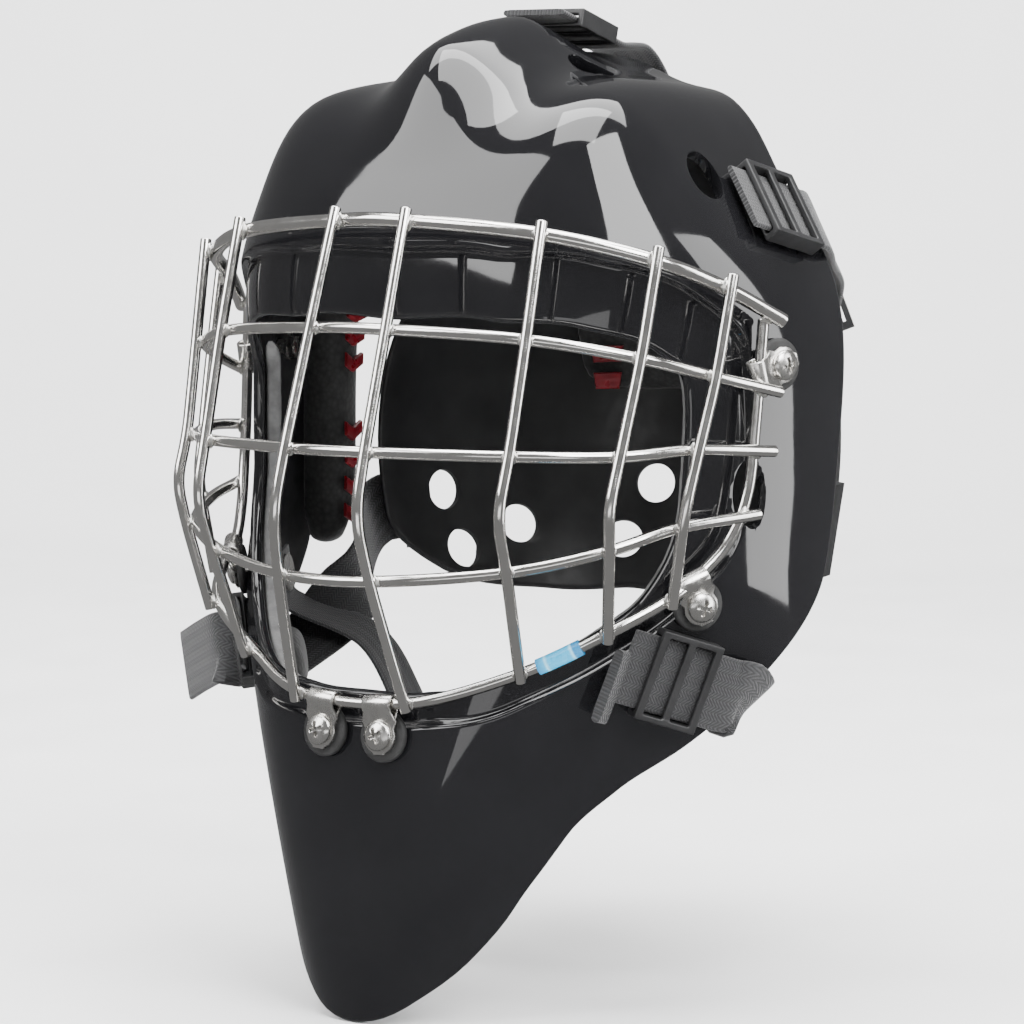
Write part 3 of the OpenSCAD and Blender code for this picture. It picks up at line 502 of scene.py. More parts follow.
def mat_gel():
    m, nt, b = new_mat("gel_red")
    v = coords(nt)
    c = ramp(nt, noise(nt, v, 140, 3), [(0.3, (0.10, 0.004, 0.008)), (0.7, (0.17, 0.006, 0.012))])
    nt.links.new(c, b.inputs["Base Color"])
    nt.links.new(to_range(nt, noise(nt, v, 300, 3), 0.24, 0.4, 0.3, 0.7), b.inputs["Roughness"])
    b.inputs["Subsurface Weight"].default_value = 0.15
    b.inputs["Subsurface Scale"].default_value = 0.002
    bump(nt, b, noise(nt, v, 500, 3), 0.15, 0.0002)
    return m


def mat_label():
    m, nt, b = new_mat("label_blue")
    x = attr(nt, "along")
    # plain bands of two blues and a pale one, with no lettering
    c = ramp(nt, to_range(nt, x, 0, 1, 0, 1), [(0.0, (0.02, 0.20, 0.42)), (0.16, (0.03, 0.36, 0.62)),
                                               (0.2, (0.30, 0.62, 0.78)),
                                              (0.26, (0.03, 0.36, 0.62)), (0.74, (0.03, 0.36, 0.62)),
                                              (0.8, (0.30, 0.62, 0.78)), (0.84, (0.02, 0.20, 0.42))])
    nt.links.new(c, b.inputs["Base Color"])
    v = coords(nt)
    nt.links.new(to_range(nt, noise(nt, v, 300, 3), 0.2, 0.34, 0.3, 0.7), b.inputs["Roughness"])
    bump(nt, b, noise(nt, v, 500, 2), 0.1, 0.0002)
    return m


GLOSS, INNER = mat_gloss(), mat_inner()
WIRE = mat_steel("wire_polished", (0.83, 0.815, 0.79), 0.07, 0.2)
STEEL = mat_steel("clip_plated", (0.76, 0.745, 0.72), 0.14, 0.34, 0.2)
WELD = mat_steel("weld_bead", (0.70, 0.69, 0.665), 0.2, 0.42, 0.3)
RUBBER, PLASTIC, PLATE = mat_rubber(), mat_plastic(), mat_plastic("plate_black", 0.014, 0.38, 900, 0.2)
WEB, FOAM, TRIM, GEL, LABEL = mat_webbing(), mat_foam(), mat_rubber("trim_grey", 0.11, 0.7,
        1300), mat_gel(), mat_label()


# ------------------------------------------------------------------ shell
def build_shell(n=288, outer_rows=84, inner_rows=40):
    turn = np.arange(n) * 360.0 / n
    m = half_turn(turn)
    a, b, c = along(OPEN_L, m), along(BAND_L, m), along(RIM_L, m)
    # polar positions along the outer skin, closer together near the step of the band
    t_band = np.linspace(0, 1, 14)
    t_main = np.linspace(0, 1, outer_rows) ** 1.06
    pol, drop = [], []
    half_step = 0.55                      # degrees
    lo, hi = b - half_step, b + half_step
    for t in t_band:
        pol.append(mix(a, lo, t))
        drop.append(np.full(n, RECESS))
    for t in np.linspace(0, 1, 9)[1:]:
        pol.append(mix(lo, hi, t))
        drop.append(np.full(n, RECESS * (1 - (t * t * (3 - 2 * t)))))
    for t in t_main[1:]:
        pol.append(mix(hi, c, t))
        drop.append(np.zeros(n))
    pol, drop = np.array(pol).T, np.array(drop).T           # n x rows
    d = ray(turn[:, None], pol)
    nrm = skin_n(d)
    outer = skin(d) - nrm * drop[..., None]
    # inner skin follows the outer one at the wall's depth
    pin, din = [], []
    for t in np.linspace(0, 1, 8):
        pin.append(mix(a, lo, t)); din.append(np.full(n, RECESS))
    for t in np.linspace(0, 1, 4)[1:]:
        pin.append(mix(lo, hi, t)); din.append(np.full(n, RECESS * (1 - (t * t * (3 - 2 * t)))))
    for t in np.linspace(0, 1, inner_rows)[1:]:
        pin.append(mix(hi, c, t)); din.append(np.zeros(n))
    pin, din = np.array(pin).T, np.array(din).T
    di = ray(turn[:, None], pin)
    inner = skin(di) - skin_n(di) * (WALL + din)[..., None]

    def edge(o_row, o_prev, i_row, k=6):
        """Half-round edge between the outer and inner skins."""
        mid = (o_row + i_row) / 2
        nn = (o_row - i_row) / 2
        tau = unit(o_row - o_prev)
        tau = tau - unit(nn) * np.sum(tau * unit(nn), -1, keepdims=True)
        tau = unit(tau) * np.linalg.norm(nn, axis=-1, keepdims=True)
        return [mid + nn * math.cos(q) + tau * math.sin(q) * 0.8
                for q in np.linspace(0, math.pi, k + 2)[1:-1]]
    rim_e = edge(outer[:, -1], outer[:, -2], inner[:, -1])
    open_e = edge(outer[:, 0], outer[:, 1], inner[:, 0])
    sec = [outer[:, k] for k in range(outer.shape[1])] + rim_e + [inner[:, k]
            for k in range(inner.shape[1] - 1, -1, -1)] + open_e[::-1]
    v = np.stack(sec, 1)                                     # n x m x 3
    m = v.shape[1]
    o = mesh_obj("shell_body", v.reshape(-1, 3), grid_faces(n, m, True, True), GLOSS)
    o.data.materials.append(INNER)
    n_outer = outer.shape[1] + 3
    n_in0, n_in1 = outer.shape[1] + 5, outer.shape[1] + 6 + inner.shape[1] - 1
    idx = np.zeros(n * m, int)
    for i in range(n):
        for k in range(m):
            if n_in0 <= k < n_in1:
                idx[i * m + k] = 1
    o.data.polygons.foreach_set("material_index", idx)
    fix_normals(o)
    return o


def local_frame(p, n, up=(0, 0, 1)):
    n = Vector(n).normalized()
    u = Vector(up).cross(n).normalized()
    w = n.cross(u)
    return Matrix(((u.x, w.x, n.x, p[0] * MM), (u.y, w.y, n.y, p[1] * MM), (u.z, w.z, n.z, p[2] * MM),
                   (0, 0, 0, 1)))


def oval_cutter(d, rx, rz, long=16):
    p, n = skin(d), skin_n(d)
    bm = bmesh.new()
    bmesh.ops.create_cone(bm, cap_ends=True, segments=64, radius1=MM, radius2=MM, depth=long * MM)
    bm.transform(local_frame(p, n) @ Matrix.Diagonal((rx, rz, 1, 1)))
    me = bpy.data.meshes.new("cut")
    bm.to_mesh(me)
    bm.free()
    return me


EAR = toward([88, -8, 10.5])
TEMPLE = toward([71, -6, 100])
CROWN_V = toward([27, 2, 134])
CLIPS = [[10.4, -77, -57.4], [78, -23.1, -18.3], [90, 0, 46.6]]


def sided(d, s):
    return np.array([s * d[0], d[1], d[2]])


def cut_shell(o):
    bm = bmesh.new()
    for s in (-1, 1):
        for d, rx, rz in ((EAR, 5, 5 * 1.95), (TEMPLE, 7, 7 * 1.15), (CROWN_V, 6, 6 * 1.35)):
            bm.from_mesh(oval_cutter(sided(d, s), rx, rz))
        for p in CLIPS:
            bm.from_mesh(oval_cutter(toward(sided(np.array(p, float), s)), 2.6, 2.6, 14))
    me = bpy.data.meshes.new("cutters")
    bm.to_mesh(me)
    bm.free()
    c = bpy.data.objects.new("cutters", me)
    COL.objects.link(c)
    mod = o.modifiers.new("b", "BOOLEAN")
    mod.operation, mod.solver, mod.object = "DIFFERENCE", "EXACT", c
    bv = o.modifiers.new("v", "BEVEL")
    bv.width, bv.segments, bv.limit_method, bv.angle_limit = 0.0006, 3, "ANGLE", math.radians(50)
    bake_mods(o)
    bpy.data.objects.remove(c)
    for p in o.data.polygons:
        p.use_smooth = True
    return o


shell = cut_shell(build_shell())
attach(shell, "mask")
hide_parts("shell")


def own(o, nodes, body="mask"):
    """The piece rides its body and stands for those CAD nodes."""
    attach(o, body)
    if nodes:
        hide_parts(*nodes)
    return o


# ------------------------------------------------------------------ cage
WIRE_R, TOP_R, SINK = 1.7, 2.15, 0.4
UP = [[[12.7, -71.6, 89], [13.5, -81.5, 58.5], [14.2, -92.6, 24.5], [14.6, -97.5, 6.8],
       [16.3, -93.3, -11.9], [19.9, -81, -49.2]],
      [[54.2, -63.7, 85.6], [54.7, -71.3, 56.4], [54.5, -79.3, 24.2], [53.9, -84.3, 7.6],
       [53, -78.3, -8.4], [49.7, -66.9, -40]],
      [[81.6, -46, 78.5], [80.3, -52, 51.2], [78.1, -59.2, 23.9], [77.9, -64.4, 10.1], [76.5, -62, -2.5],
       [72.1, -56.1, -28.4]],
      [[93, -25, 70.4], [92, -31, 45.7], [90, -37, 25], [88.8, -41, 11.2], [87.5, -41.5, 3],
       [83.4, -40.3, -19.4]]]
UP = np.array(UP, float)


def outward(p):
    return unit([p[0] / 100, (p[1] - 5) / 88, 0])


def inboard(p, g):
    return np.array(p, float) - outward(p) * g


def flip(p):
    return np.array([-p[0], p[1], p[2]], float)


def mirrored(P):
    return [flip(p) for p in P[::-1]] + [np.array(p, float) for p in P]


def rounded(P, r, m=8):
    P = [np.array(p, float) for p in P]
    out = [P[0], mix(P[0], P[1], 0.5)]
    for i in range(1, len(P) - 1):
        a, b, c = P[i - 1], P[i], P[i + 1]
        k = min(r, 0.45 * np.linalg.norm(a - b), 0.45 * np.linalg.norm(c - b))
        p0, p1 = b + unit(a - b) * k, b + unit(c - b) * k
        out += [(1 - t) ** 2 * p0 + 2 * t * (1 - t) * b + t * t * p1 for t in np.linspace(0, 1, m)]
    return out + [mix(P[-2], P[-1], 0.6), P[-1]]


def bar(k, g, tip):
    return catmull(mirrored([inboard(UP[i][k], g) for i in range(4)] + [tip]), 14)


BARS = {"cage_top_bar": (bar(0, WIRE_R + TOP_R - SINK, [99.3, -6.4, 60.5]), TOP_R),
        "cage_cross_bar_1": (bar(1, 2 * WIRE_R - SINK, [98.5, -6.4, 40.2]), WIRE_R),
        "cage_cross_bar_2": (bar(2, 2 * WIRE_R - SINK, [97.8, -8.4, 23.4]), WIRE_R),
        "cage_cross_bar_3": (bar(4, 2 * WIRE_R - SINK, [95.7, -13.4, 5.6]), WIRE_R)}
RIM_HALF = [inboard(p[5], 2 * WIRE_R - SINK) + unit(p[4] - p[5]) * WIRE_R for p in UP] + \
           [[84.8, -28.3, -11.4], [89.6, -19.3, -1.3], [92.4, -14.4, 12], [93.2, -12, 30], [94.3, -9.4, 61.2]]
RIM_W = catmull(mirrored(RIM_HALF), 16)
for name, (path, r) in BARS.items():
    own(fix_normals(sharpen(mesh_obj("v_" + name, *tube(path, r, 28), WIRE), 60)), [name], "mask")
own(fix_normals(sharpen(mesh_obj("v_cage_rim_wire", *tube(RIM_W, WIRE_R, 24), WIRE), 60)),
    ["cage_rim_wire"], "mask")
n_up = 1
for i, s in [(3, -1), (2, -1), (1, -1), (0, -1), (0, 1), (1, 1), (2, 1), (3, 1)]:
    p = UP[i]
    pts = [p[0] + unit(p[0] - p[1]) * 4, p[1], p[2], p[3], p[4], p[5] + unit(p[5] - p[4]) * 0.6]
    path = [np.array([s * q[0], q[1], q[2]]) for q in rounded(pts, 8)]
    own(fix_normals(sharpen(mesh_obj("v_cage_upright_%d" % n_up, *tube(path, WIRE_R, 24), WIRE), 60)),
        ["cage_upright_%d" % n_up], "mask")
    n_up += 1

# weld beads where wires cross
rng = np.random.default_rng(7)


def bead(c, a, b, n, ra, rb, rn):
    """A lumpy flattened bead with axes a, b, n."""
    bm = bmesh.new()
    bmesh.ops.create_icosphere(bm, subdivisions=3, radius=1)
    a, n = unit(a), unit(n - np.dot(n, unit(a)) * unit(a))
    b = np.cross(n, a)
    ph = rng.uniform(0, 6.28, 4)
    v = []
    for w in bm.verts:
        q = np.array(w.co)
        k = 1 + 0.07 * math.sin(5 * q[0] + ph[0]) + 0.06 * math.sin(6 * q[1]
                + ph[1]) + 0.05 * math.sin(9 * q[0] * q[1] + ph[2])
        v.append(np.array(c) + (a * q[0] * ra + b * q[1] * rb) * k + n * q[2] * rn)
    f = [tuple(w.index for w in q.verts) for q in bm.faces]
    bm.free()
    return np.array(v), f


beads = []
for s in (-1, 1):
    sg = np.array([s, 1, 1.0])
    for i in range(4):
        p = UP[i]
        o = outward(p[2])
        for k, r in ((0, TOP_R), (1, WIRE_R), (2, WIRE_R), (4, WIRE_R)):
            c = p[k] - outward(p[k]) * (WIRE_R - SINK / 2)
            run = np.cross([0, 0, 1.0], outward(p[k]))
            beads.append(bead(c * sg, run * sg, None, outward(p[k]) * sg, 2.25, 2.25 * r / WIRE_R, 0.95))
        run = np.cross(unit(p[4] - p[5]), outward(p[5]))
        c = p[5] + unit(p[4] - p[5]) * WIRE_R - outward(p[5]) * (WIRE_R - SINK / 2)
        beads.append(bead(c * sg, run * sg, None, outward(p[5]) * sg, 2.25, 2.25, 0.95))
    for name, (path, r) in BARS.items():
        d = np.linalg.norm(path[:, None] - RIM_W[None], axis=-1)
        d = d + np.where(path[:, None, 0] * s > 60, 0, 1e3)
        i, j = np.unravel_index(np.argmin(d), d.shape)
        if d[i, j] < 6:
            c = (path[i] + RIM_W[j]) / 2
            beads.append(bead(c, path[min(i + 1, len(path) - 1)] - path[i - 1], None, path[i] - RIM_W[j],
                              2.25, 2.25, 1.0))
own(fix_normals(mesh_obj("v_weld_beads", *join_parts(beads), WELD)), [], "mask")


def sleeve(path, r, thick, sides=28):
    """A thin wrap with rounded ends round a wire."""
    path = np.asarray(path, float)
    t = unit(np.gradient(path, axis=0))
    a = unit(np.cross(t, [0.1, 0.2, 0.97]))
    b = np.cross(a, t)
    ang = np.linspace(0, 2 * np.pi, sides, endpoint=False)
    rows, al = [], []
    m = len(path)
    prof = [(0, r)] + [(0, r + thick * 0.6)] + [(k, r + thick)
                                                for k in range(m)] + [(m - 1, r + thick * 0.6)] + [(m - 1, r)]
    for k, q in prof:
        rows.append(path[k] + q * (np.cos(ang)[:, None] * a[k] + np.sin(ang)[:, None] * b[k]))
        al += [k / (m - 1)] * sides
    f = []
    for k in range(len(rows) - 1):
        for i in range(sides):
            j = (i + 1) % sides
            f.append((k * sides + i, k * sides + j, (k + 1) * sides + j, (k + 1) * sides + i))
    k = len(rows) - 1
    for i in range(sides):
        j = (i + 1) % sides
        f.append((k * sides + i, k * sides + j, j, i))
    return np.concatenate(rows), f, al


v, f, al = sleeve(RIM_W[163:172], WIRE_R + 0.1, 0.55)
own(fix_normals(sharpen(mesh_obj("v_rim_label", v, f, LABEL, attrs={"along": al}), 50)), ["rim_label"],
    "mask")


# ------------------------------------------------------------------ clips, screws, washers
def seat(p, q):
    d = toward(p)
    o, n = skin(d), skin_n(d)
    v = q - o
    u = unit(v - n * (v @ n))
    w = np.cross(n, u)
    return o, u, w, n, v


def to_seat(o, u, w, n, loc):
    loc = np.asarray(loc, float)
    return o + loc[..., 0:1] * u + loc[..., 1:2] * w + loc[..., 2:3] * n


def lathe(profile, sides=48):
    """Turned body: profile of (radius, height), from the bottom's middle to the top's middle."""
    ang = np.linspace(0, 2 * np.pi, sides, endpoint=False)
    v, f = [], []
    for r, z in profile:
        v += [[r * math.cos(t), r * math.sin(t), z] for t in ang]
    for k in range(len(profile) - 1):
        for i in range(sides):
            j = (i + 1) % sides
            f.append((k * sides + i, k * sides + j, (k + 1) * sides + j, (k + 1) * sides + i))
    f.append(tuple(range(sides - 1, -1, -1)))
    f.append(tuple((len(profile) - 1) * sides + i for i in range(sides)))
    return np.array(v), f


def strip(path, widths, thick, rounding=0.28):
    """Bent sheet metal along (x, z) stations, with a width at each, and eased edges."""
    path = np.asarray(path, float)
    t = unit(np.gradient(path, axis=0))
    nn = np.stack([-t[:, 1], t[:, 0]], -1)
    rows = []
    r = rounding
    for (x, z), (nx, nz), w in zip(path, nn, widths):
        h = thick / 2
        sec = []
        for yy, k in ((-w / 2, 0), (w / 2, 1)):
            sg = -1 if k == 0 else 1
            loc = [(yy - sg * r, -h), (yy - sg * r * 0.3, -h + r * 0.3), (yy, -h + r),
                   (yy, h - r), (yy - sg * r * 0.3, h - r * 0.3), (yy - sg * r, h)]
            sec.append(loc)
        ring = sec[1] + sec[0][::-1]
        rows.append([[x + nx * q, y, z + nz * q] for y, q in ring])
    rows = np.array(rows)
    m, k = rows.shape[0], rows.shape[1]
    f = grid_faces(m, k, False, True)
    f.append(tuple(range(k)))
    f.append(tuple((m - 1) * k + i for i in range(k - 1, -1, -1)))
    return rows.reshape(-1, 3), f


WASHER_T, HEAD_R, TAB_R, BAND_W = 2.4, 4.4, 5.4, 9.6
clip_parts, screw_parts, washer_parts = [], [], []
RIM_COARSE = catmull(mirrored(RIM_HALF), 4)
for s in (-1, 1):
    for p in CLIPS:
        p = np.array([s * p[0], p[1], p[2]], float)
        q = RIM_COARSE[np.argmin(np.linalg.norm(RIM_COARSE - p, axis=1))]
        o, u, w, n, vv = seat(p, q)
        lift = vv @ n
        span = np.linalg.norm(vv - n * lift)
        rr = WIRE_R + 0.25 + 0.5
        zt = WASHER_T + 0.1 + 0.5
        # the strap comes in under the wire, turns round it and returns onto itself at the screw
        c = np.array([span, lift])
        # tangent from the tab's level to the circle, on its far-from-skin side
        start = np.array([3.5, zt + 0.25])
        d0 = c - start
        L = np.linalg.norm(d0)
        base = math.atan2(d0[1], d0[0])
        off = math.asin(min(rr / L, 0.98))
        # the upper tangent
        a_up = base + off
        up_t = c + rr * np.array([math.cos(a_up + math.pi / 2), math.sin(a_up + math.pi / 2)])
        ang0 = a_up + math.pi / 2
        a_dn = base - off
        ang1 = a_dn - math.pi / 2
        turn = [ang0 - t * (ang0 - ang1) for t in np.linspace(0, 1, 26)]
        loop = [c + rr * np.array([math.cos(t), math.sin(t)]) for t in turn]
        top = [np.array([x, zt + 0.4]) for x in (-TAB_R, -TAB_R * 0.92, -TAB_R * 0.7, -TAB_R * 0.4, 0, 2.2)]
        mid = [mix(start + [0, 0.15], loop[0], t) for t in (0.12, 0.4, 0.75)]
        low = [mix(loop[-1], start - [0, 0.35], t) for t in (0.25, 0.6, 1.0)] + [np.array([1.5, zt - 0.05])]
        path = top + mid + loop + low
        wd = []
        for k, (x, z) in enumerate(path):
            if k < len(top):
                wd.append(max(2 * math.sqrt(max(TAB_R ** 2 - x * x, 0.3)), 4.0 if x < 0 else BAND_W))
            else:
                wd.append(BAND_W + 2.2 * max(0, 1 - (k - len(top)) / 2.0) if k < len(top) + 3 else BAND_W)
        sv, sf = strip(path, wd, 0.95)
        clip_parts.append((to_seat(o, u, w, n, sv), sf))
        wv, wf = lathe([(0.01, 0.3), (6.8, 0.3), (7.5, 0.42), (7.7, 0.75), (7.7, WASHER_T - 0.75),
                        (7.45, WASHER_T - 0.2), (6.8, WASHER_T), (0.01, WASHER_T)], 64)
        washer_parts.append((to_seat(o, u, w, n, wv), wf))
        hl = WASHER_T + 1.55
        hv, hf = lathe([(0.01, -WALL - 6.2), (2.25, -WALL - 6.2), (2.25, hl), (HEAD_R - 0.25, hl),
                        (HEAD_R, hl + 0.2), (HEAD_R, hl + 0.85), (HEAD_R - 0.25, hl + 1.25),
                        (HEAD_R - 0.9, hl + 1.68), (HEAD_R - 2, hl + 2.1), (HEAD_R - 3.2, hl + 2.38),
                        (0.9, hl + 2.5), (0.01, hl + 2.52)], 56)
        screw_parts.append((to_seat(o, u, w, n, hv), hf, (o, u, w, n, hl)))


def cross_cut(obj, seats):
    """Cross recess in the screw heads."""
    bm = bmesh.new()
    for k, (o, u, w, n, hl) in enumerate(seats):
        for a in (20 + 31 * k, 110 + 31 * k):
            a = math.radians(a)
            x = u * math.cos(a) + w * math.sin(a)
            y = np.cross(n, x)
            vs = []
            for sx, sy, z in [(-1, -1, 1.35), (1, -1, 1.35), (1, 1, 1.35), (-1, 1, 1.35), (-1, -1, 4),
                              (1, -1, 4), (1, 1, 4), (-1, 1, 4)]:
                k2 = 2.2 if z < 2 else 2.9
                vs.append(bm.verts.new(tuple((o + x * sx * k2 + y * sy * 0.62 + n * (hl + z)) * MM)))
            for q in ((0, 3, 2, 1), (4, 5, 6, 7), (0, 1, 5, 4), (1, 2, 6, 5), (2, 3, 7, 6), (3, 0, 4, 7)):
                bm.faces.new([vs[i] for i in q])
    bmesh.ops.recalc_face_normals(bm, faces=bm.faces)
    me = bpy.data.meshes.new("c")
    bm.to_mesh(me)
    bm.free()
    c = bpy.data.objects.new("c", me)
    COL.objects.link(c)
    mod = obj.modifiers.new("b", "BOOLEAN")
    mod.operation, mod.solver, mod.object, mod.use_self = "DIFFERENCE", "EXACT", c, True
    bv = obj.modifiers.new("v", "BEVEL")
    bv.width, bv.segments, bv.limit_method, bv.angle_limit = 0.00012, 2, "ANGLE", math.radians(40)
    bake_mods(obj)
    bpy.data.objects.remove(c)
    for q in obj.data.polygons:
        q.use_smooth = True
    return sharpen(obj, 50)


own(fix_normals(sharpen(mesh_obj("v_cage_clips", *join_parts(clip_parts), STEEL), 45)), ["cage_clips"],
    "mask")
own(fix_normals(sharpen(mesh_obj("v_clip_washers", *join_parts(washer_parts), RUBBER), 50)),
    ["clip_washers"], "mask")
sc = fix_normals(mesh_obj("v_clip_screws", *join_parts([q[:2] for q in screw_parts]), STEEL))
own(cross_cut(sc, [q[2] for q in screw_parts]), ["clip_screws"], "mask")


def keep_cad(name, mat, bevel=0.0003, deg=35):
    """A CAD node shown as it is, with eased edges."""
    o = NODES[name]
    o.data.materials.clear()
    o.data.materials.append(mat)
    if bevel:
        b = o.modifiers.new("ease", "BEVEL")
        b.width, b.segments, b.limit_method, b.angle_limit = bevel, 2, "ANGLE", math.radians(deg)
        b.harden_normals = True


keep_cad("clip_nuts", STEEL, 0.00015)
keep_cad("chin_snaps", STEEL, 0.0002)

# ------------------------------------------------------------------ pads
PAD_D = WALL + 0.8


def level_at(c):
    return unit(np.cross([0, 0, 1.0], c))


def rise_at(c):
    return np.cross(c, level_at(c))


def patch(c, u, w, rows, surf, n=56, e=4, grow=1.0):
    """Rounded patch under a surface: rows of (share of outline, depth)."""
    v = []
    a = np.arange(n) * 2 * np.pi / n
    rd = (np.abs(np.cos(a)) ** e + np.abs(np.sin(a)) ** e) ** (-1 / e)
    for s, dep in rows:
        d = unit(c + (np.cos(a)[:, None] * u + np.sin(a)[:, None] * w) * (rd * s * grow)[:, None])
        v.append(surf(d, dep))
    m = len(rows)
    f = []
    for k in range(m - 1):
        for i in range(n):
            j = (i + 1) % n
            f.append((k * n + i, k * n + j, (k + 1) * n + j, (k + 1) * n + i))
    v.append(surf(c[None], rows[0][1]))
    v.append(surf(c[None], rows[-1][1]))
    f += [(m * n, (i + 1) % n, i) for i in range(n)]
    f += [(m * n + 1, (m - 1) * n + i, (m - 1) * n + (i + 1) % n) for i in range(n)]
    return np.concatenate(v), f


def stuff(o, cap=3.0, voxel=0.0035, pressure=4.0):
    """Pressure-inflates a pad with the cloth solver, with each point's travel capped in millimetres."""
    rm = o.modifiers.new("r", "REMESH")
    rm.mode, rm.voxel_size = "VOXEL", voxel
    bake_mods(o)
    base = np.empty(len(o.data.vertices) * 3)
    o.data.vertices.foreach_get("co", base)
    base = base.reshape(-1, 3)
    cl = o.modifiers.new("cloth", "CLOTH")
    st = cl.settings
    st.quality, st.mass = 6, 0.25
    st.tension_stiffness = st.compression_stiffness = 22
    st.shear_stiffness, st.bending_stiffness = 8, 0.6
    st.use_pressure, st.uniform_pressure_force = True, pressure
    st.effector_weights.gravity = 0
    cl.collision_settings.use_self_collision = False
    cl.collision_settings.use_collision = False
    for fr in range(1, 21):
        SC.frame_set(fr)
    bake_mods(o)
    SC.frame_set(1)
    now = np.empty(len(o.data.vertices) * 3)
    o.data.vertices.foreach_get("co", now)
    now = now.reshape(-1, 3)
    mv = now - base
    ln = np.linalg.norm(mv, axis=1, keepdims=True)
    lim = cap * MM
    mv = mv * np.where(ln > 1e-9, lim * np.tanh(ln / lim) / np.maximum(ln, 1e-9), 0)
    base = base + mv
    return base


def soft_pad(name, node, c, u, w, depth, thick, surf, limit, body="mask", mat=None,
             shrink=0.93, cap=2.5):
    """A stuffed pad in the space of its CAD solid. limit(points) pushes points back out of the wall."""
    rows = [(0.5, depth + 0.9), (0.9, depth + 0.9), (0.98, depth + 1.4), (1.0, depth + thick * 0.36),
            (0.97, depth + thick * 0.62), (0.86, depth + thick * 0.84), (0.6, depth + thick * 0.93),
            (0.3, depth + thick * 0.95)]
    v, f = patch(c, u, w, rows, surf, grow=shrink)
    o = fix_normals(mesh_obj(name, v, f))
    pts = limit(stuff(o, cap) / MM)
    o.data.vertices.foreach_set("co", (pts * MM).ravel())
    o.data.update()
    sm = o.modifiers.new("c", "CORRECTIVE_SMOOTH")
    sm.iterations, sm.smooth_type = 3, "SIMPLE"
    sb = o.modifiers.new("s", "SUBSURF")
    sb.levels = sb.render_levels = 1
    bake_mods(o)
    o.data.materials.clear()
    o.data.materials.append(mat or FOAM)
    for p in o.data.polygons:
        p.use_smooth = True
    own(o, [node], body)
    return o


def skin_surf(d, dep):
    return skin(d) - skin_n(d) * dep


def skin_limit(depth, face):
    """Keeps points between the wall's lining and the pad's face depth, measured along the ray."""
    def lim(p):
        d = unit(p - EYE)
        r = np.linalg.norm(p - EYE, axis=1)
        s = skin_r(d)
        cosn = np.abs(np.sum(skin_n(d) * d, axis=1))
        dep = (s - r) * cosn
        new = np.clip(dep, depth, face)
        return EYE + d * (s - new / cosn)[:, None]
    return lim


side_c, jaw_c, brow_c = aim(84.5, 9), aim(46, -33), aim(0, 37.5)
crown_c = toward([0, 18, 130])
tan = lambda a: math.tan(math.radians(a))
for s, nm in ((1, "left"), (-1, "right")):
    m = np.array([s, 1, 1.0])
    soft_pad("v_side_pad_" + nm, "side_pad_" + nm, side_c * m, level_at(side_c) * tan(6) * m,
             rise_at(side_c) * tan(29) * m,
             PAD_D, 15, skin_surf, skin_limit(PAD_D, PAD_D + 15))
    soft_pad("v_jaw_pad_" + nm, "jaw_pad_" + nm, jaw_c * m, level_at(jaw_c) * tan(9) * m,
             rise_at(jaw_c) * tan(5) * m,
             PAD_D, 12, skin_surf, skin_limit(PAD_D, PAD_D + 12))
soft_pad("v_forehead_pad", "forehead_pad", brow_c, level_at(brow_c) * tan(35), rise_at(brow_c) * tan(7.5),
         PAD_D + RECESS, 11,
         skin_surf, skin_limit(PAD_D + RECESS, PAD_D + RECESS + 11))
soft_pad("v_crown_pad", "crown_pad", crown_c, np.array([1, 0, 0]) * tan(20),
         unit(np.cross(crown_c, [1, 0, 0])) * tan(11), PAD_D + 6, 9,
         skin_surf, skin_limit(PAD_D + 6, PAD_D + 15))

# foam lining of the opening's lower edge
turns = np.linspace(66.3, 293.7, 220)
sec = []
for k, t in enumerate(np.linspace(0, 2 * np.pi, 18, endpoint=False)):
    cx, cy = math.cos(t), math.sin(t)
    x = 1.175 + 0.925 * math.copysign(abs(cx) ** 0.6, cx)
    y = 2.2 + 2.2 * math.copysign(abs(cy) ** 0.75, cy)
    sec.append((x, y))
end = np.clip(np.minimum(np.arange(220), np.arange(219, -1, -1)) / 3.0, 0, 1) ** 0.5
pts = []
for q in sec:
    sq = 1.175 + (q[0] - 1.175) * (0.3 + 0.7 * end), 2.2 + (q[1] - 2.2) * (0.3 + 0.7 * end)
    d = ray(turns, along(OPEN_L, half_turn(turns)) + sq[0])
    wav = 0.12 * np.sin(turns * 1.7) + 0.1 * np.sin(turns * 0.63 + 1)
    pts.append(skin(d) - skin_n(d) * (WALL + RECESS + 0.4 + np.clip(sq[1] + wav * (sq[1] > 2), 0, 4.4))[:,
            None])
pts = np.stack(pts, 1)
f = grid_faces(220, 18, False, True) + [tuple(range(18)), tuple(219 * 18 + i for i in range(17, -1, -1))]
tr = own(fix_normals(sharpen(mesh_obj("v_opening_trim", pts.reshape(-1, 3), f, TRIM), 70)),
         ["opening_trim"], "mask")


# ------------------------------------------------------------------ moulded gel ribs
def chevron(c, l, w, depth, thick, surf, half, rise, sag):
    """A moulded V rib with eased edges, lying on a pad."""
    x = np.linspace(-1, 1, 13)
    rows = []
    for k, (yy, dz) in enumerate([(-1, 0), (-1, 0.6), (-0.8, 1), (0.8, 1), (1, 0.6), (1, 0)]):
        q = []
        for t in x:
            y = yy * rise - sag * (1 - abs(t)) + sag * 0.5
            tt = t * (1 - 0.06 * (1 - dz))
            q.append(surf(unit(c + l * half * tt + w * y)[None], depth + thick * dz)[0])
        rows.append(q)
    v = np.array(rows)
    m, k = v.shape[:2]
    f = grid_faces(m, k, True, False) + [tuple(i * k for i in range(m)),
                                         tuple(i * k + k - 1 for i in range(m - 1, -1, -1))]
    return v.reshape(-1, 3), f


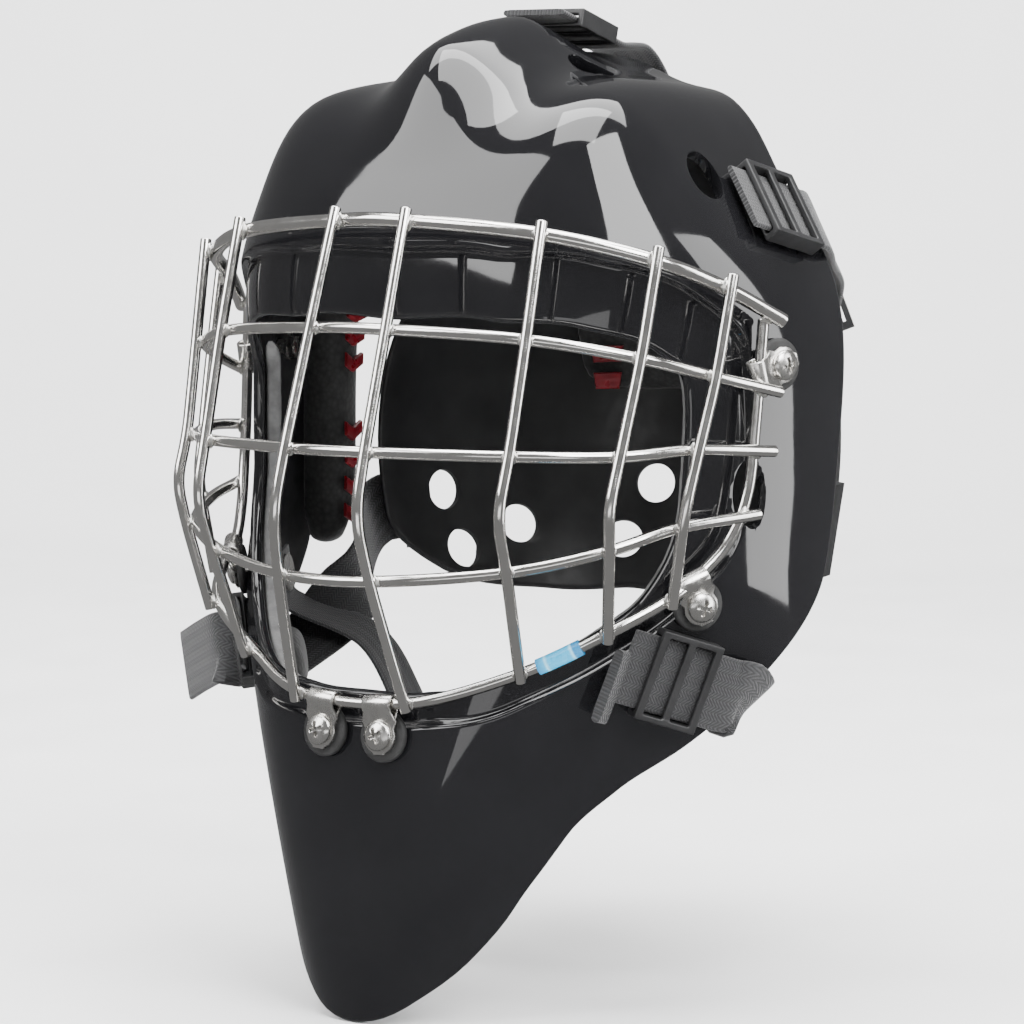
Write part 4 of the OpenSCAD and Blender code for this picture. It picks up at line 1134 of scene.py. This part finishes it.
for s, nm in ((1, "left"), (-1, "right")):
    m = np.array([s, 1, 1.0])
    parts = []
    for h in (-12, -7, -2, 3, 16, 21, 26):
        c = aim(84.5, h)
        v, f = chevron(c, level_at(c), rise_at(c), PAD_D + 15 + 0.1, 1.2, skin_surf, tan(3.2), tan(1.25),
                       tan(1.3))
        parts.append((v * m, f))
    own(fix_normals(sharpen(mesh_obj("v_gel_side_" + nm, *join_parts(parts), GEL), 60)),
        ["gel_side_" + nm], "mask")

# ------------------------------------------------------------------ backplate
B_EYE, B_W, B_R, B_T = np.array([0, 28, 20.0]), 78.0, 98.0, 2.8
BACK_PTS = [[0, 68, 112], [26, 70, 107], [50, 62, 92], [68, 48, 68], [76, 38, 42], [77, 35, 15], [76, 36, -8],
            [66, 56, -26], [48, 90, -35], [25, 112, -38], [0, 118, -39]]
B_VENTS = [[25, 120, -1], [33, 112, -20], [58, 86, -13], [68, 60, 0], [64, 64, -19], [30, 105, 88],
           [50, 90, 70]]
BACK_L = loop_of(BACK_PTS, B_EYE, 1)


def back_pt(d):
    r = ((np.abs(d[..., 0]) / B_W) ** 2.2 + (np.abs(d[..., 1]) / B_R) ** 2.2
         + (np.abs(d[..., 2]) / np.where(d[..., 2] > 0, 100, 96)) ** 2.2) ** (-1 / 2.2)
    return B_EYE + d * r[..., None]


def back_n(d):
    e = 0.01
    a = unit(np.cross(d, np.where(np.abs(d[..., 2:3]) < 0.9, np.array([0, 0, 1.0]), np.array([0, 1.0, 0]))))
    b = np.cross(a, d)
    return unit(np.cross(back_pt(unit(d + b * e)) - back_pt(unit(d - b * e)),
                         back_pt(unit(d + a * e)) - back_pt(unit(d - a * e))))


def back_surf(d, dep):
    return back_pt(d) - back_n(d) * dep


def back_toward(p):
    return unit(np.asarray(p, float) - B_EYE)


def build_back(n=176, rows=46):
    turn = np.arange(n) * 360.0 / n
    c = along(BACK_L, half_turn(turn))
    out, inn = [], []
    for k in range(1, rows + 1):
        d = ray(turn, c * k / rows, 1)
        # a low bead runs inside the edge
        t = k / rows
        lift = 0.7 * (ease(0.80, 0.83, t) - ease(0.93, 0.96, t))
        out.append(back_surf(d, 0.75 - lift))
        inn.append(back_surf(d, B_T))
    e0, e1 = out[-1], inn[-1]
    mid, nn = (e0 + e1) / 2, (e0 - e1) / 2
    tau = unit(out[-1] - out[-2]) * np.linalg.norm(nn, axis=-1, keepdims=True)
    edge = [mid + nn * math.cos(q) + tau * math.sin(q) * 0.8 for q in np.linspace(0, math.pi, 7)[1:-1]]
    seq = out + edge + inn[::-1]
    v = np.concatenate(seq)
    m = len(seq)
    f = []
    for k in range(m - 1):
        for i in range(n):
            j = (i + 1) % n
            f.append((k * n + i, k * n + j, (k + 1) * n + j, (k + 1) * n + i))
    v = np.concatenate([v, back_surf(np.array([[0, 1.0, 0]]), 0.75), back_surf(np.array([[0, 1.0, 0]]), B_T)])
    f += [(m * n, (i + 1) % n, i) for i in range(n)]
    f += [(m * n + 1, (m - 1) * n + i, (m - 1) * n + (i + 1) % n) for i in range(n)]
    o = fix_normals(mesh_obj("v_backplate", v, f, PLATE))
    bm = bmesh.new()
    for s in (-1, 1):
        for p in B_VENTS:
            d = back_toward([s * p[0], p[1], p[2]])
            me = bpy.data.meshes.new("c")
            b2 = bmesh.new()
            bmesh.ops.create_cone(b2, cap_ends=True, segments=56, radius1=6.5 * MM, radius2=6.5 * MM,
                                  depth=16 * MM)
            b2.transform(local_frame(back_pt(d), back_n(d)))
            b2.to_mesh(me)
            b2.free()
            bm.from_mesh(me)
    me = bpy.data.meshes.new("cut")
    bm.to_mesh(me)
    bm.free()
    c = bpy.data.objects.new("cut", me)
    COL.objects.link(c)
    mod = o.modifiers.new("b", "BOOLEAN")
    mod.operation, mod.solver, mod.object = "DIFFERENCE", "EXACT", c
    bv = o.modifiers.new("v", "BEVEL")
    bv.width, bv.segments, bv.limit_method, bv.angle_limit = 0.0005, 3, "ANGLE", math.radians(50)
    bake_mods(o)
    bpy.data.objects.remove(c)
    for q in o.data.polygons:
        q.use_smooth = True
    return o


own(build_back(), ["backplate"], "backplate")


def back_limit(depth, face):
    def lim(p):
        d = unit(p - B_EYE)
        r = np.linalg.norm(p - B_EYE, axis=1)
        s = np.linalg.norm(back_pt(d) - B_EYE, axis=1)
        cosn = np.abs(np.sum(back_n(d) * d, axis=1))
        new = np.clip((s - r) * cosn, depth, face)
        return B_EYE + d * (s - new / cosn)[:, None]
    return lim


soft_pad("v_backplate_pad", "backplate_pad", unit([0, 1, 0.33]), np.array([tan(33), 0, 0]),
         unit([0, -0.33, 1]) * tan(13), B_T + 0.8, 10,
         back_surf, back_limit(B_T + 0.8, B_T + 10.8), "backplate")
parts = []
for s in (-1, 1):
    for z, hw in ((36, 6.5), (47, 7.5)):
        c = back_toward([s * -43, 118, z])
        l = unit(np.cross([0, 0, 1.0], c))
        w = np.cross(c, l)
        rows = []
        for k, (yy, dz, sh) in enumerate([(-1, 0, 1), (-1, 0.6, 1), (-0.86, 1, 0.96), (0.86, 1, 0.96),
                                          (1, 0.6, 1), (1, 0, 1)]):
            rows.append([back_surf(unit(c + l * tan(hw / 2 + yy * 0.3) * t * sh
                                        + w * tan(1.8) * yy)[None], B_T + 10.9 + 1.4 * dz)[0]
                                        for t in np.linspace(-1, 1, 9)])
        v = np.array(rows)
        m, k = v.shape[:2]
        parts.append((v.reshape(-1, 3), grid_faces(m, k, True, False)
                      + [tuple(i * k for i in range(m)), tuple(i * k + k - 1 for i in range(m - 1, -1, -1))]))
own(fix_normals(sharpen(mesh_obj("v_gel_back", *join_parts(parts), GEL), 60)), ["gel_back"], "backplate")


# ------------------------------------------------------------------ webbing
def ribbon(path, across, w=22.0, t=1.8, nw=14):
    """Flat woven tape with rounded edges; across and along are in millimetres."""
    path = np.asarray(path, float)
    m = len(path)
    tt = unit(np.gradient(path, axis=0))
    a = unit(np.asarray(across, float))
    a = unit(a - tt * np.sum(a * tt, -1, keepdims=True))
    n = unit(np.cross(tt, a))
    run = np.concatenate([[0], np.cumsum(np.linalg.norm(np.diff(path, axis=0), axis=1))])
    h = t / 2
    ring = []
    for x in np.linspace(-1, 1, nw):
        ring.append((x * (w / 2 - h * 0.9), -h * (1 - 0.12 * (x * x > 0.8))))
    for q in np.linspace(-math.pi / 2, math.pi / 2, 7)[1:-1]:
        ring.append((w / 2 - h * 0.9 + math.cos(q) * h * 0.9, math.sin(q) * h))
    for x in np.linspace(1, -1, nw):
        ring.append((x * (w / 2 - h * 0.9), h * (1 - 0.12 * (x * x > 0.8))))
    for q in np.linspace(math.pi / 2, 3 * math.pi / 2, 7)[1:-1]:
        ring.append((-(w / 2 - h * 0.9) + math.cos(q) * h * 0.9, math.sin(q) * h))
    ring = np.array(ring)
    v = path[:, None] + ring[None, :, 0:1] * a[:, None] + ring[None, :, 1:2] * n[:, None]
    k = len(ring)
    f = grid_faces(m, k, False, True) + [tuple(range(k)),
                                         tuple((m - 1) * k + i for i in range(k - 1, -1, -1))]
    ac = np.tile(ring[:, 0], m)
    al = np.repeat(run, k)
    return v.reshape(-1, 3), f, ac, al


def strap(name, nodes, stations, w=22.0, t=1.8, step=1.2, clear=None, mat=None, straight=0):
    """Tape through stations of (point, across); the first `straight` stations stay on one line."""
    P = np.array([q[0] for q in stations], float)
    A = unit(np.array([q[1] for q in stations], float))
    pp = catmull(P, 18)
    aa = catmull(A, 18)
    if straight:
        k = 18 * (straight - 1)
        u = np.linspace(0, 1, k + 1)[:, None]
        pp[:k + 1] = P[0] + (P[straight - 1] - P[0]) * u
        aa[:k + 1] = A[0]
    # even spacing
    run = np.concatenate([[0], np.cumsum(np.linalg.norm(np.diff(pp, axis=0), axis=1))])
    m = max(int(run[-1] / step), 4)
    x = np.linspace(0, run[-1], m)
    pp = np.stack([np.interp(x, run, pp[:, i]) for i in range(3)], -1)
    aa = unit(np.stack([np.interp(x, run, aa[:, i]) for i in range(3)], -1))
    if clear:
        pp = clear(pp, aa)
    v, f, ac, al = ribbon(pp, aa, w, t)
    o = fix_normals(mesh_obj(name, v, f, mat or WEB, attrs={"across": ac, "along": al}))
    sharpen(o, 50)
    return o


LIFT, CROWN_LIFT, HALF = 3.2, 6.2, 17.0      # the crown run stands over the rear slope of the ridge


def run_frame(p, q):
    d = toward(p)
    o, n = skin(d), skin_n(d)
    v = np.asarray(q, float) - np.asarray(p, float)
    t = unit(v - n * (v @ n))
    return o + n * (CROWN_LIFT if p[0] == 0 else LIFT), t, np.cross(n, t), n


CR = run_frame([0, 26, 140], [0, 60, 134])
UR = run_frame([80, 17, 90], [82, 40, 84])
LR = run_frame([73.2, -27.2, -38.8], [88.2, -3.1, -48])


def on_plate(p):
    d = back_toward(p)
    return back_pt(d) + back_n(d) * 1.9


def off_shell(pp, aa, w=22.0, keep=1.5):
    """Lifts a tape's centre line where the tape would touch the shell's outer skin."""
    out = pp.copy()
    for i, (p, a) in enumerate(zip(pp, aa)):
        need = np.zeros(3)
        worst = 0
        for x in (-w / 2, -w / 4, 0, w / 4, w / 2):
            q = p + a * x
            d = unit(q - EYE)
            m = half_turn(math.degrees(math.atan2(d[0], d[2])) % 360)
            pol = math.degrees(math.acos(-d[1]))
            if float(along(BAND_L, m)) - 2 < pol < float(along(RIM_L, m)) + 1.5:
                h = np.linalg.norm(q - EYE) - float(skin_r(d[None])[0])
                if -12 < h < keep and keep - h > worst:
                    worst, need = keep - h, skin_n(d[None])[0] * (keep - h)
        out[i] = p + need
    # smooth the corrections
    c = out - pp
    for _ in range(12):
        c[1:-1] = np.maximum(np.abs(c[1:-1]), 0) * np.sign(c[1:-1]) * 0.5 + 0.25 * (c[:-2] + c[2:])
    big = np.where(np.linalg.norm(out - pp, axis=1, keepdims=True) > np.linalg.norm(c, axis=1,
            keepdims=True), out - pp, c)
    return pp + big


def run_stations(R, half=HALF):
    o, t, a, n = R
    return [(o + t * half * k, a) for k in (-1, 0, 1)]


crown = run_stations(CR) + [([0, 60, 140.5], [-1, 0, 0]), ([0, 73, 128], [-1, 0, 0]),
                            (on_plate([0, 80, 109]), [-1, 0, 0]), (on_plate([0, 90, 98]), [-1, 0, 0])]
upper = run_stations(UR) + [([80, 47, 84], [-0.35, -0.15, 0.92]), ([73, 62, 78], [-0.45, -0.1, 0.88]),
                            (on_plate([60, 74, 66]), [-0.4, -0.1, 0.9]),
                            (on_plate([54, 84, 62]), [-0.4, -0.1, 0.9])]
FOLD = [-0.42, -0.63, -0.65]
lower = run_stations(LR) + [([89.5, -12.1, -47.8], FOLD), ([88.5, -8.1, -51.1], FOLD),
                            ([82.3, -5.4, -49.8], FOLD), ([73, 16, -29], [-0.1, -0.3, -0.95]),
                            ([79, 35, -9], [-0.1, 0, -1]), (on_plate([76, 46, -5]), [-0.1, 0, -1]),
                            (on_plate([70, 58, -3]), [-0.1, 0, -1])]


def same_way(st):
    """The across directions all point the same way."""
    out = [st[0]]
    for p, a in st[1:]:
        a = np.asarray(a, float)
        out.append((p, a if a @ np.asarray(out[-1][1], float) > 0 else -a))
    return out


def flip_st(st):
    return [(flip(p), flip(a)) for p, a in st]


for nm, st, nodes in (("v_crown_strap", crown, ["crown_strap"]),
                      ("v_upper_strap_left", upper, ["upper_strap_left"]),
                      ("v_upper_strap_right", flip_st(upper), ["upper_strap_right"]),
                      ("v_lower_strap_left", lower, ["lower_strap_left"]),
                      ("v_lower_strap_right", flip_st(lower), ["lower_strap_right"])):
    o = strap(nm, nodes, same_way(st), clear=None if "lower" in nm else off_shell, straight=3)
    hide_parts(*nodes)
    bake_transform(o)

# folded and loose ends
o, t, a, n = LR
DROP = np.array([0, 0, 7.0])
s0 = o - t * HALF - DROP
fold = strap("v_strap_tail_left", [], same_way([(s0 - t * 3 + n * 0.6, a), (s0 - t * 4.5 + n, a),
                                                (s0 - t * 6.5 + n * 2.0, a)]), t=3.4, step=0.7)
own(fold, ["strap_tail_left"], "mask")
of_, tf, af = flip(o - t * HALF) - DROP, flip(t), flip(a)
loose = strap("v_strap_tail_right", [], same_way([(of_ - tf * 3, af), (of_ - tf * 8 + [-1, 0, -1], af),
        (of_ - tf * 14 + [-8, 4, -2], af), (of_ - tf * 16 + [-18, 9, -6], af),
        (of_ - tf * 15 + [-27, 12, -10], af)]), step=0.9)
own(loose, ["strap_tail_right"], "mask")


# ------------------------------------------------------------------ buckles
def frame_mesh(specs, M, bevel=0.5):
    """Rounded bars as one mesh: specs of (x0, x1, y0, y1, z0, z1) in the run's frame."""
    bm = bmesh.new()
    for x0, x1, y0, y1, z0, z1 in specs:
        b2 = bmesh.new()
        bmesh.ops.create_cube(b2, size=1)
        b2.transform(Matrix.Translation(((x0 + x1) / 2, (y0 + y1) / 2,
                                         (z0 + z1) / 2)) @ Matrix.Diagonal((x1 - x0, y1 - y0, z1 - z0, 1)))
        me = bpy.data.meshes.new("t")
        b2.to_mesh(me)
        b2.free()
        bm.from_mesh(me)
    me = bpy.data.meshes.new("f")
    bm.to_mesh(me)
    bm.free()
    o = bpy.data.objects.new("f", me)
    COL.objects.link(o)
    rm = o.modifiers.new("r", "REMESH")
    rm.mode, rm.voxel_size = "VOXEL", 0.28
    sm = o.modifiers.new("s", "SMOOTH")
    sm.factor, sm.iterations = 0.5, 5
    dc = o.modifiers.new("d", "DECIMATE")
    dc.ratio = 0.35
    bake_mods(o)
    o.data.transform(Matrix.Scale(MM, 4))
    o.data.transform(M)
    o.data.materials.clear()
    o.data.materials.append(PLASTIC)
    for p in o.data.polygons:
        p.use_smooth = True
    return o


def run_matrix(R, s=1):
    o, t, a, n = R
    if s < 0:
        o, t, n = flip(o), flip(t), flip(n)
    b = np.cross(n, t)
    return Matrix(((t[0], b[0], n[0], o[0] * MM), (t[1], b[1], n[1], o[1] * MM),
                   (t[2], b[2], n[2], o[2] * MM), (0, 0, 0, 1)))


def glide(long):
    """Three-bar frame round the webbing: thin rails over it, side posts, and a slim back plate with two slots."""
    iw, ih, wl, low = 23.0, 2.8, 1.8, 1.1
    zl, zh = -ih / 2 - low, ih / 2 + wl
    x, y = long / 2, iw / 2 + wl
    rail = 2.4
    return [(-x, x, -y, -y + wl, zl + 0.2, zh), (-x, x, y - wl, y, zl + 0.2, zh),
            (-x, -x + rail, -y, y, zh - wl, zh), (x - rail, x, -y, y, zh - wl, zh),
            (-1.2, 1.2, -y, y, zh - wl, zh - 0.2),
            (-x, -x + rail, -y, y, zl, zl + low), (x - rail, x, -y, y, zl, zl + low),
            (-1.6, 1.6, -y, y, zl, zl + low)]


for nm, node, R, s, long, body in (("v_crown_adjuster", "crown_adjuster", CR, 1, 20, "crown_slider"),
                                   ("v_upper_adjuster_left", "upper_adjuster_left", UR, 1, 22,
                                    "upper_slider_left"),
                                   ("v_upper_adjuster_right", "upper_adjuster_right", UR, -1, 22,
                                    "upper_slider_right"),
                                   ("v_lower_buckle_left", "lower_buckle_left", LR, 1, 20,
                                    "lower_slider_left"),
                                    ("v_lower_buckle_right", "lower_buckle_right", LR, -1, 20,
                                     "lower_slider_right")):
    b = frame_mesh(glide(long), run_matrix(R, s))
    b.name = nm
    own(b, [node], body)
keep_cad("strap_anchors", PLASTIC, 0.0005)

# ------------------------------------------------------------------ chin cup
CUP_C, CUP_HALF, CUP_RISE, CUP_WALL = np.array([0, -22, -78.0]), 29.0, 13.0, 3.0


def dish(grow, thick, share, n=72, rows=20, round_rows=5):
    a = np.arange(n) * 2 * np.pi / n

    def row(k, dy):
        x, z = np.cos(a) * k, np.sin(a) * k
        return CUP_C + np.stack([x * (CUP_HALF + grow), x * x * 24 + z * z * 7 - grow + dy,
                                 z * (CUP_RISE + grow)], -1)
    seq = [row(share * k / rows, 0) for k in range(1, rows)]
    r = thick / 2 / (CUP_RISE + grow)
    for q in np.linspace(-math.pi / 2, math.pi / 2, round_rows + 2):
        seq.append(row(share - r * 0.7 * (1 - math.cos(q)), thick / 2 + math.sin(q) * thick / 2))
    seq += [row(share * k / rows, thick) for k in range(rows - 1, 0, -1)]
    m = len(seq)
    v = np.concatenate(seq + [CUP_C[None] + [0, -grow, 0], CUP_C[None] + [0, thick - grow, 0]])
    f = []
    for k in range(m - 1):
        for i in range(n):
            j = (i + 1) % n
            f.append((k * n + i, k * n + j, (k + 1) * n + j, (k + 1) * n + i))
    f += [(m * n, (i + 1) % n, i) for i in range(n)] + [(m * n + 1, (m - 1) * n + i,
            (m - 1) * n + (i + 1) % n) for i in range(n)]
    return v, f


own(fix_normals(mesh_obj("v_chin_cup", *dish(0, CUP_WALL, 1), PLATE)), ["chin_cup"], "chin_hanger")
cp = own(fix_normals(mesh_obj("v_chin_cup_pad", *dish(-CUP_WALL - 0.4, 4, 0.9), FOAM)), ["chin_cup_pad"],
         "chin_hanger")
SNAP_D = toward([82, -4, -20])
SNAP_N = skin_n(SNAP_D)
dn = np.array([-0.25, 0.35, -1])
dn = unit(dn - SNAP_N * (dn @ SNAP_N))
on = skin(SNAP_D) - SNAP_N * (WALL + 3.7)
chin = [(on - dn * 7, np.cross(SNAP_N, dn)), (on + dn * 8, np.cross(SNAP_N, dn))] + [(p,
        [-0.25, -0.85, -0.3]) for p in ([61, 9, -43], [42, 5, -63], [27, -2.2, -77], [25.5, -3.6, -78])]
for s, nm in ((1, "left"), (-1, "right")):
    st = same_way(chin if s > 0 else flip_st(chin))
    own(strap("v_chin_strap_" + nm, [], st, w=16, t=1.1, step=1.2, straight=2), ["chin_strap_" + nm],
        "chin_hanger")

# ------------------------------------------------------------------ stage and light
floor_z = cad_lo.z - 0.0012
bm = bmesh.new()
prof = [(-3.0, floor_z), (1.1, floor_z)] + [(1.1 + 0.7 * math.sin(q), floor_z + 0.7 * (1 - math.cos(q)))
                                            for q in np.linspace(0, math.pi / 2, 16)[1:]] + [(1.8, 3.2)]
across = Vector((math.cos(AZ), math.sin(AZ), 0))
away = Vector((-math.sin(AZ), math.cos(AZ), 0))
rows = [[bm.verts.new(across * x + away * y + Vector((0, 0, z))) for y, z in prof] for x in (-3, 3)]
for i in range(len(prof) - 1):
    bm.faces.new([rows[0][i], rows[0][i + 1], rows[1][i + 1], rows[1][i]])
me = bpy.data.meshes.new("floor")
bm.to_mesh(me)
bm.free()
for p in me.polygons:
    p.use_smooth = True
fl = bpy.data.objects.new("floor", me)
COL.objects.link(fl)
fm, nt, b = new_mat("floor_white")
v = coords(nt)
nt.links.new(ramp(nt, noise(nt, v, 6, 3), [(0.3, (0.93, 0.93, 0.935)), (0.7, (0.96, 0.96, 0.96))]),
             b.inputs["Base Color"])
nt.links.new(to_range(nt, noise(nt, v, 20, 3), 0.55, 0.7, 0.3, 0.7), b.inputs["Roughness"])
me.materials.append(fm)
fl.visible_glossy = False      # the set stands in for a white cyclorama, kept out of the gloss


def area(name, az, el, dist, size, power, target=(0, 0, 0.01), size_y=None):
    a, e = math.radians(az), math.radians(el)
    d = Vector((math.sin(a) * math.cos(e), -math.cos(a) * math.cos(e), math.sin(e)))
    L = bpy.data.lights.new(name, "AREA")
    L.energy = power
    L.shape = "RECTANGLE"
    L.size, L.size_y = size, size_y or size
    o = bpy.data.objects.new(name, L)
    COL.objects.link(o)
    o.location = Vector(target) + d * dist
    o.rotation_mode = "QUATERNION"
    o.rotation_quaternion = (-d).to_track_quat("-Z", "Y")
    return o


area("key", 70, 42, 1.5, 0.9, 34)
area("fill", -32, 34, 1.7, 1.0, 22)
area("top", 20, 80, 1.4, 1.0, 30)
area("side", 112, 12, 1.4, 0.5, 12, size_y=1.2)
area("low", 30, -4, 1.9, 1.6, 4, size_y=0.4)
area("back", 35, 50, 1.6, 1.5, 60, target=tuple(away * 1.5 + Vector((0, 0, 0.3))))
w = bpy.data.worlds.new("w")
w.use_nodes = True
w.node_tree.nodes["Background"].inputs[0].default_value = (1, 1, 1, 1)
w.node_tree.nodes["Background"].inputs[1].default_value = 0.22
SC.world = w
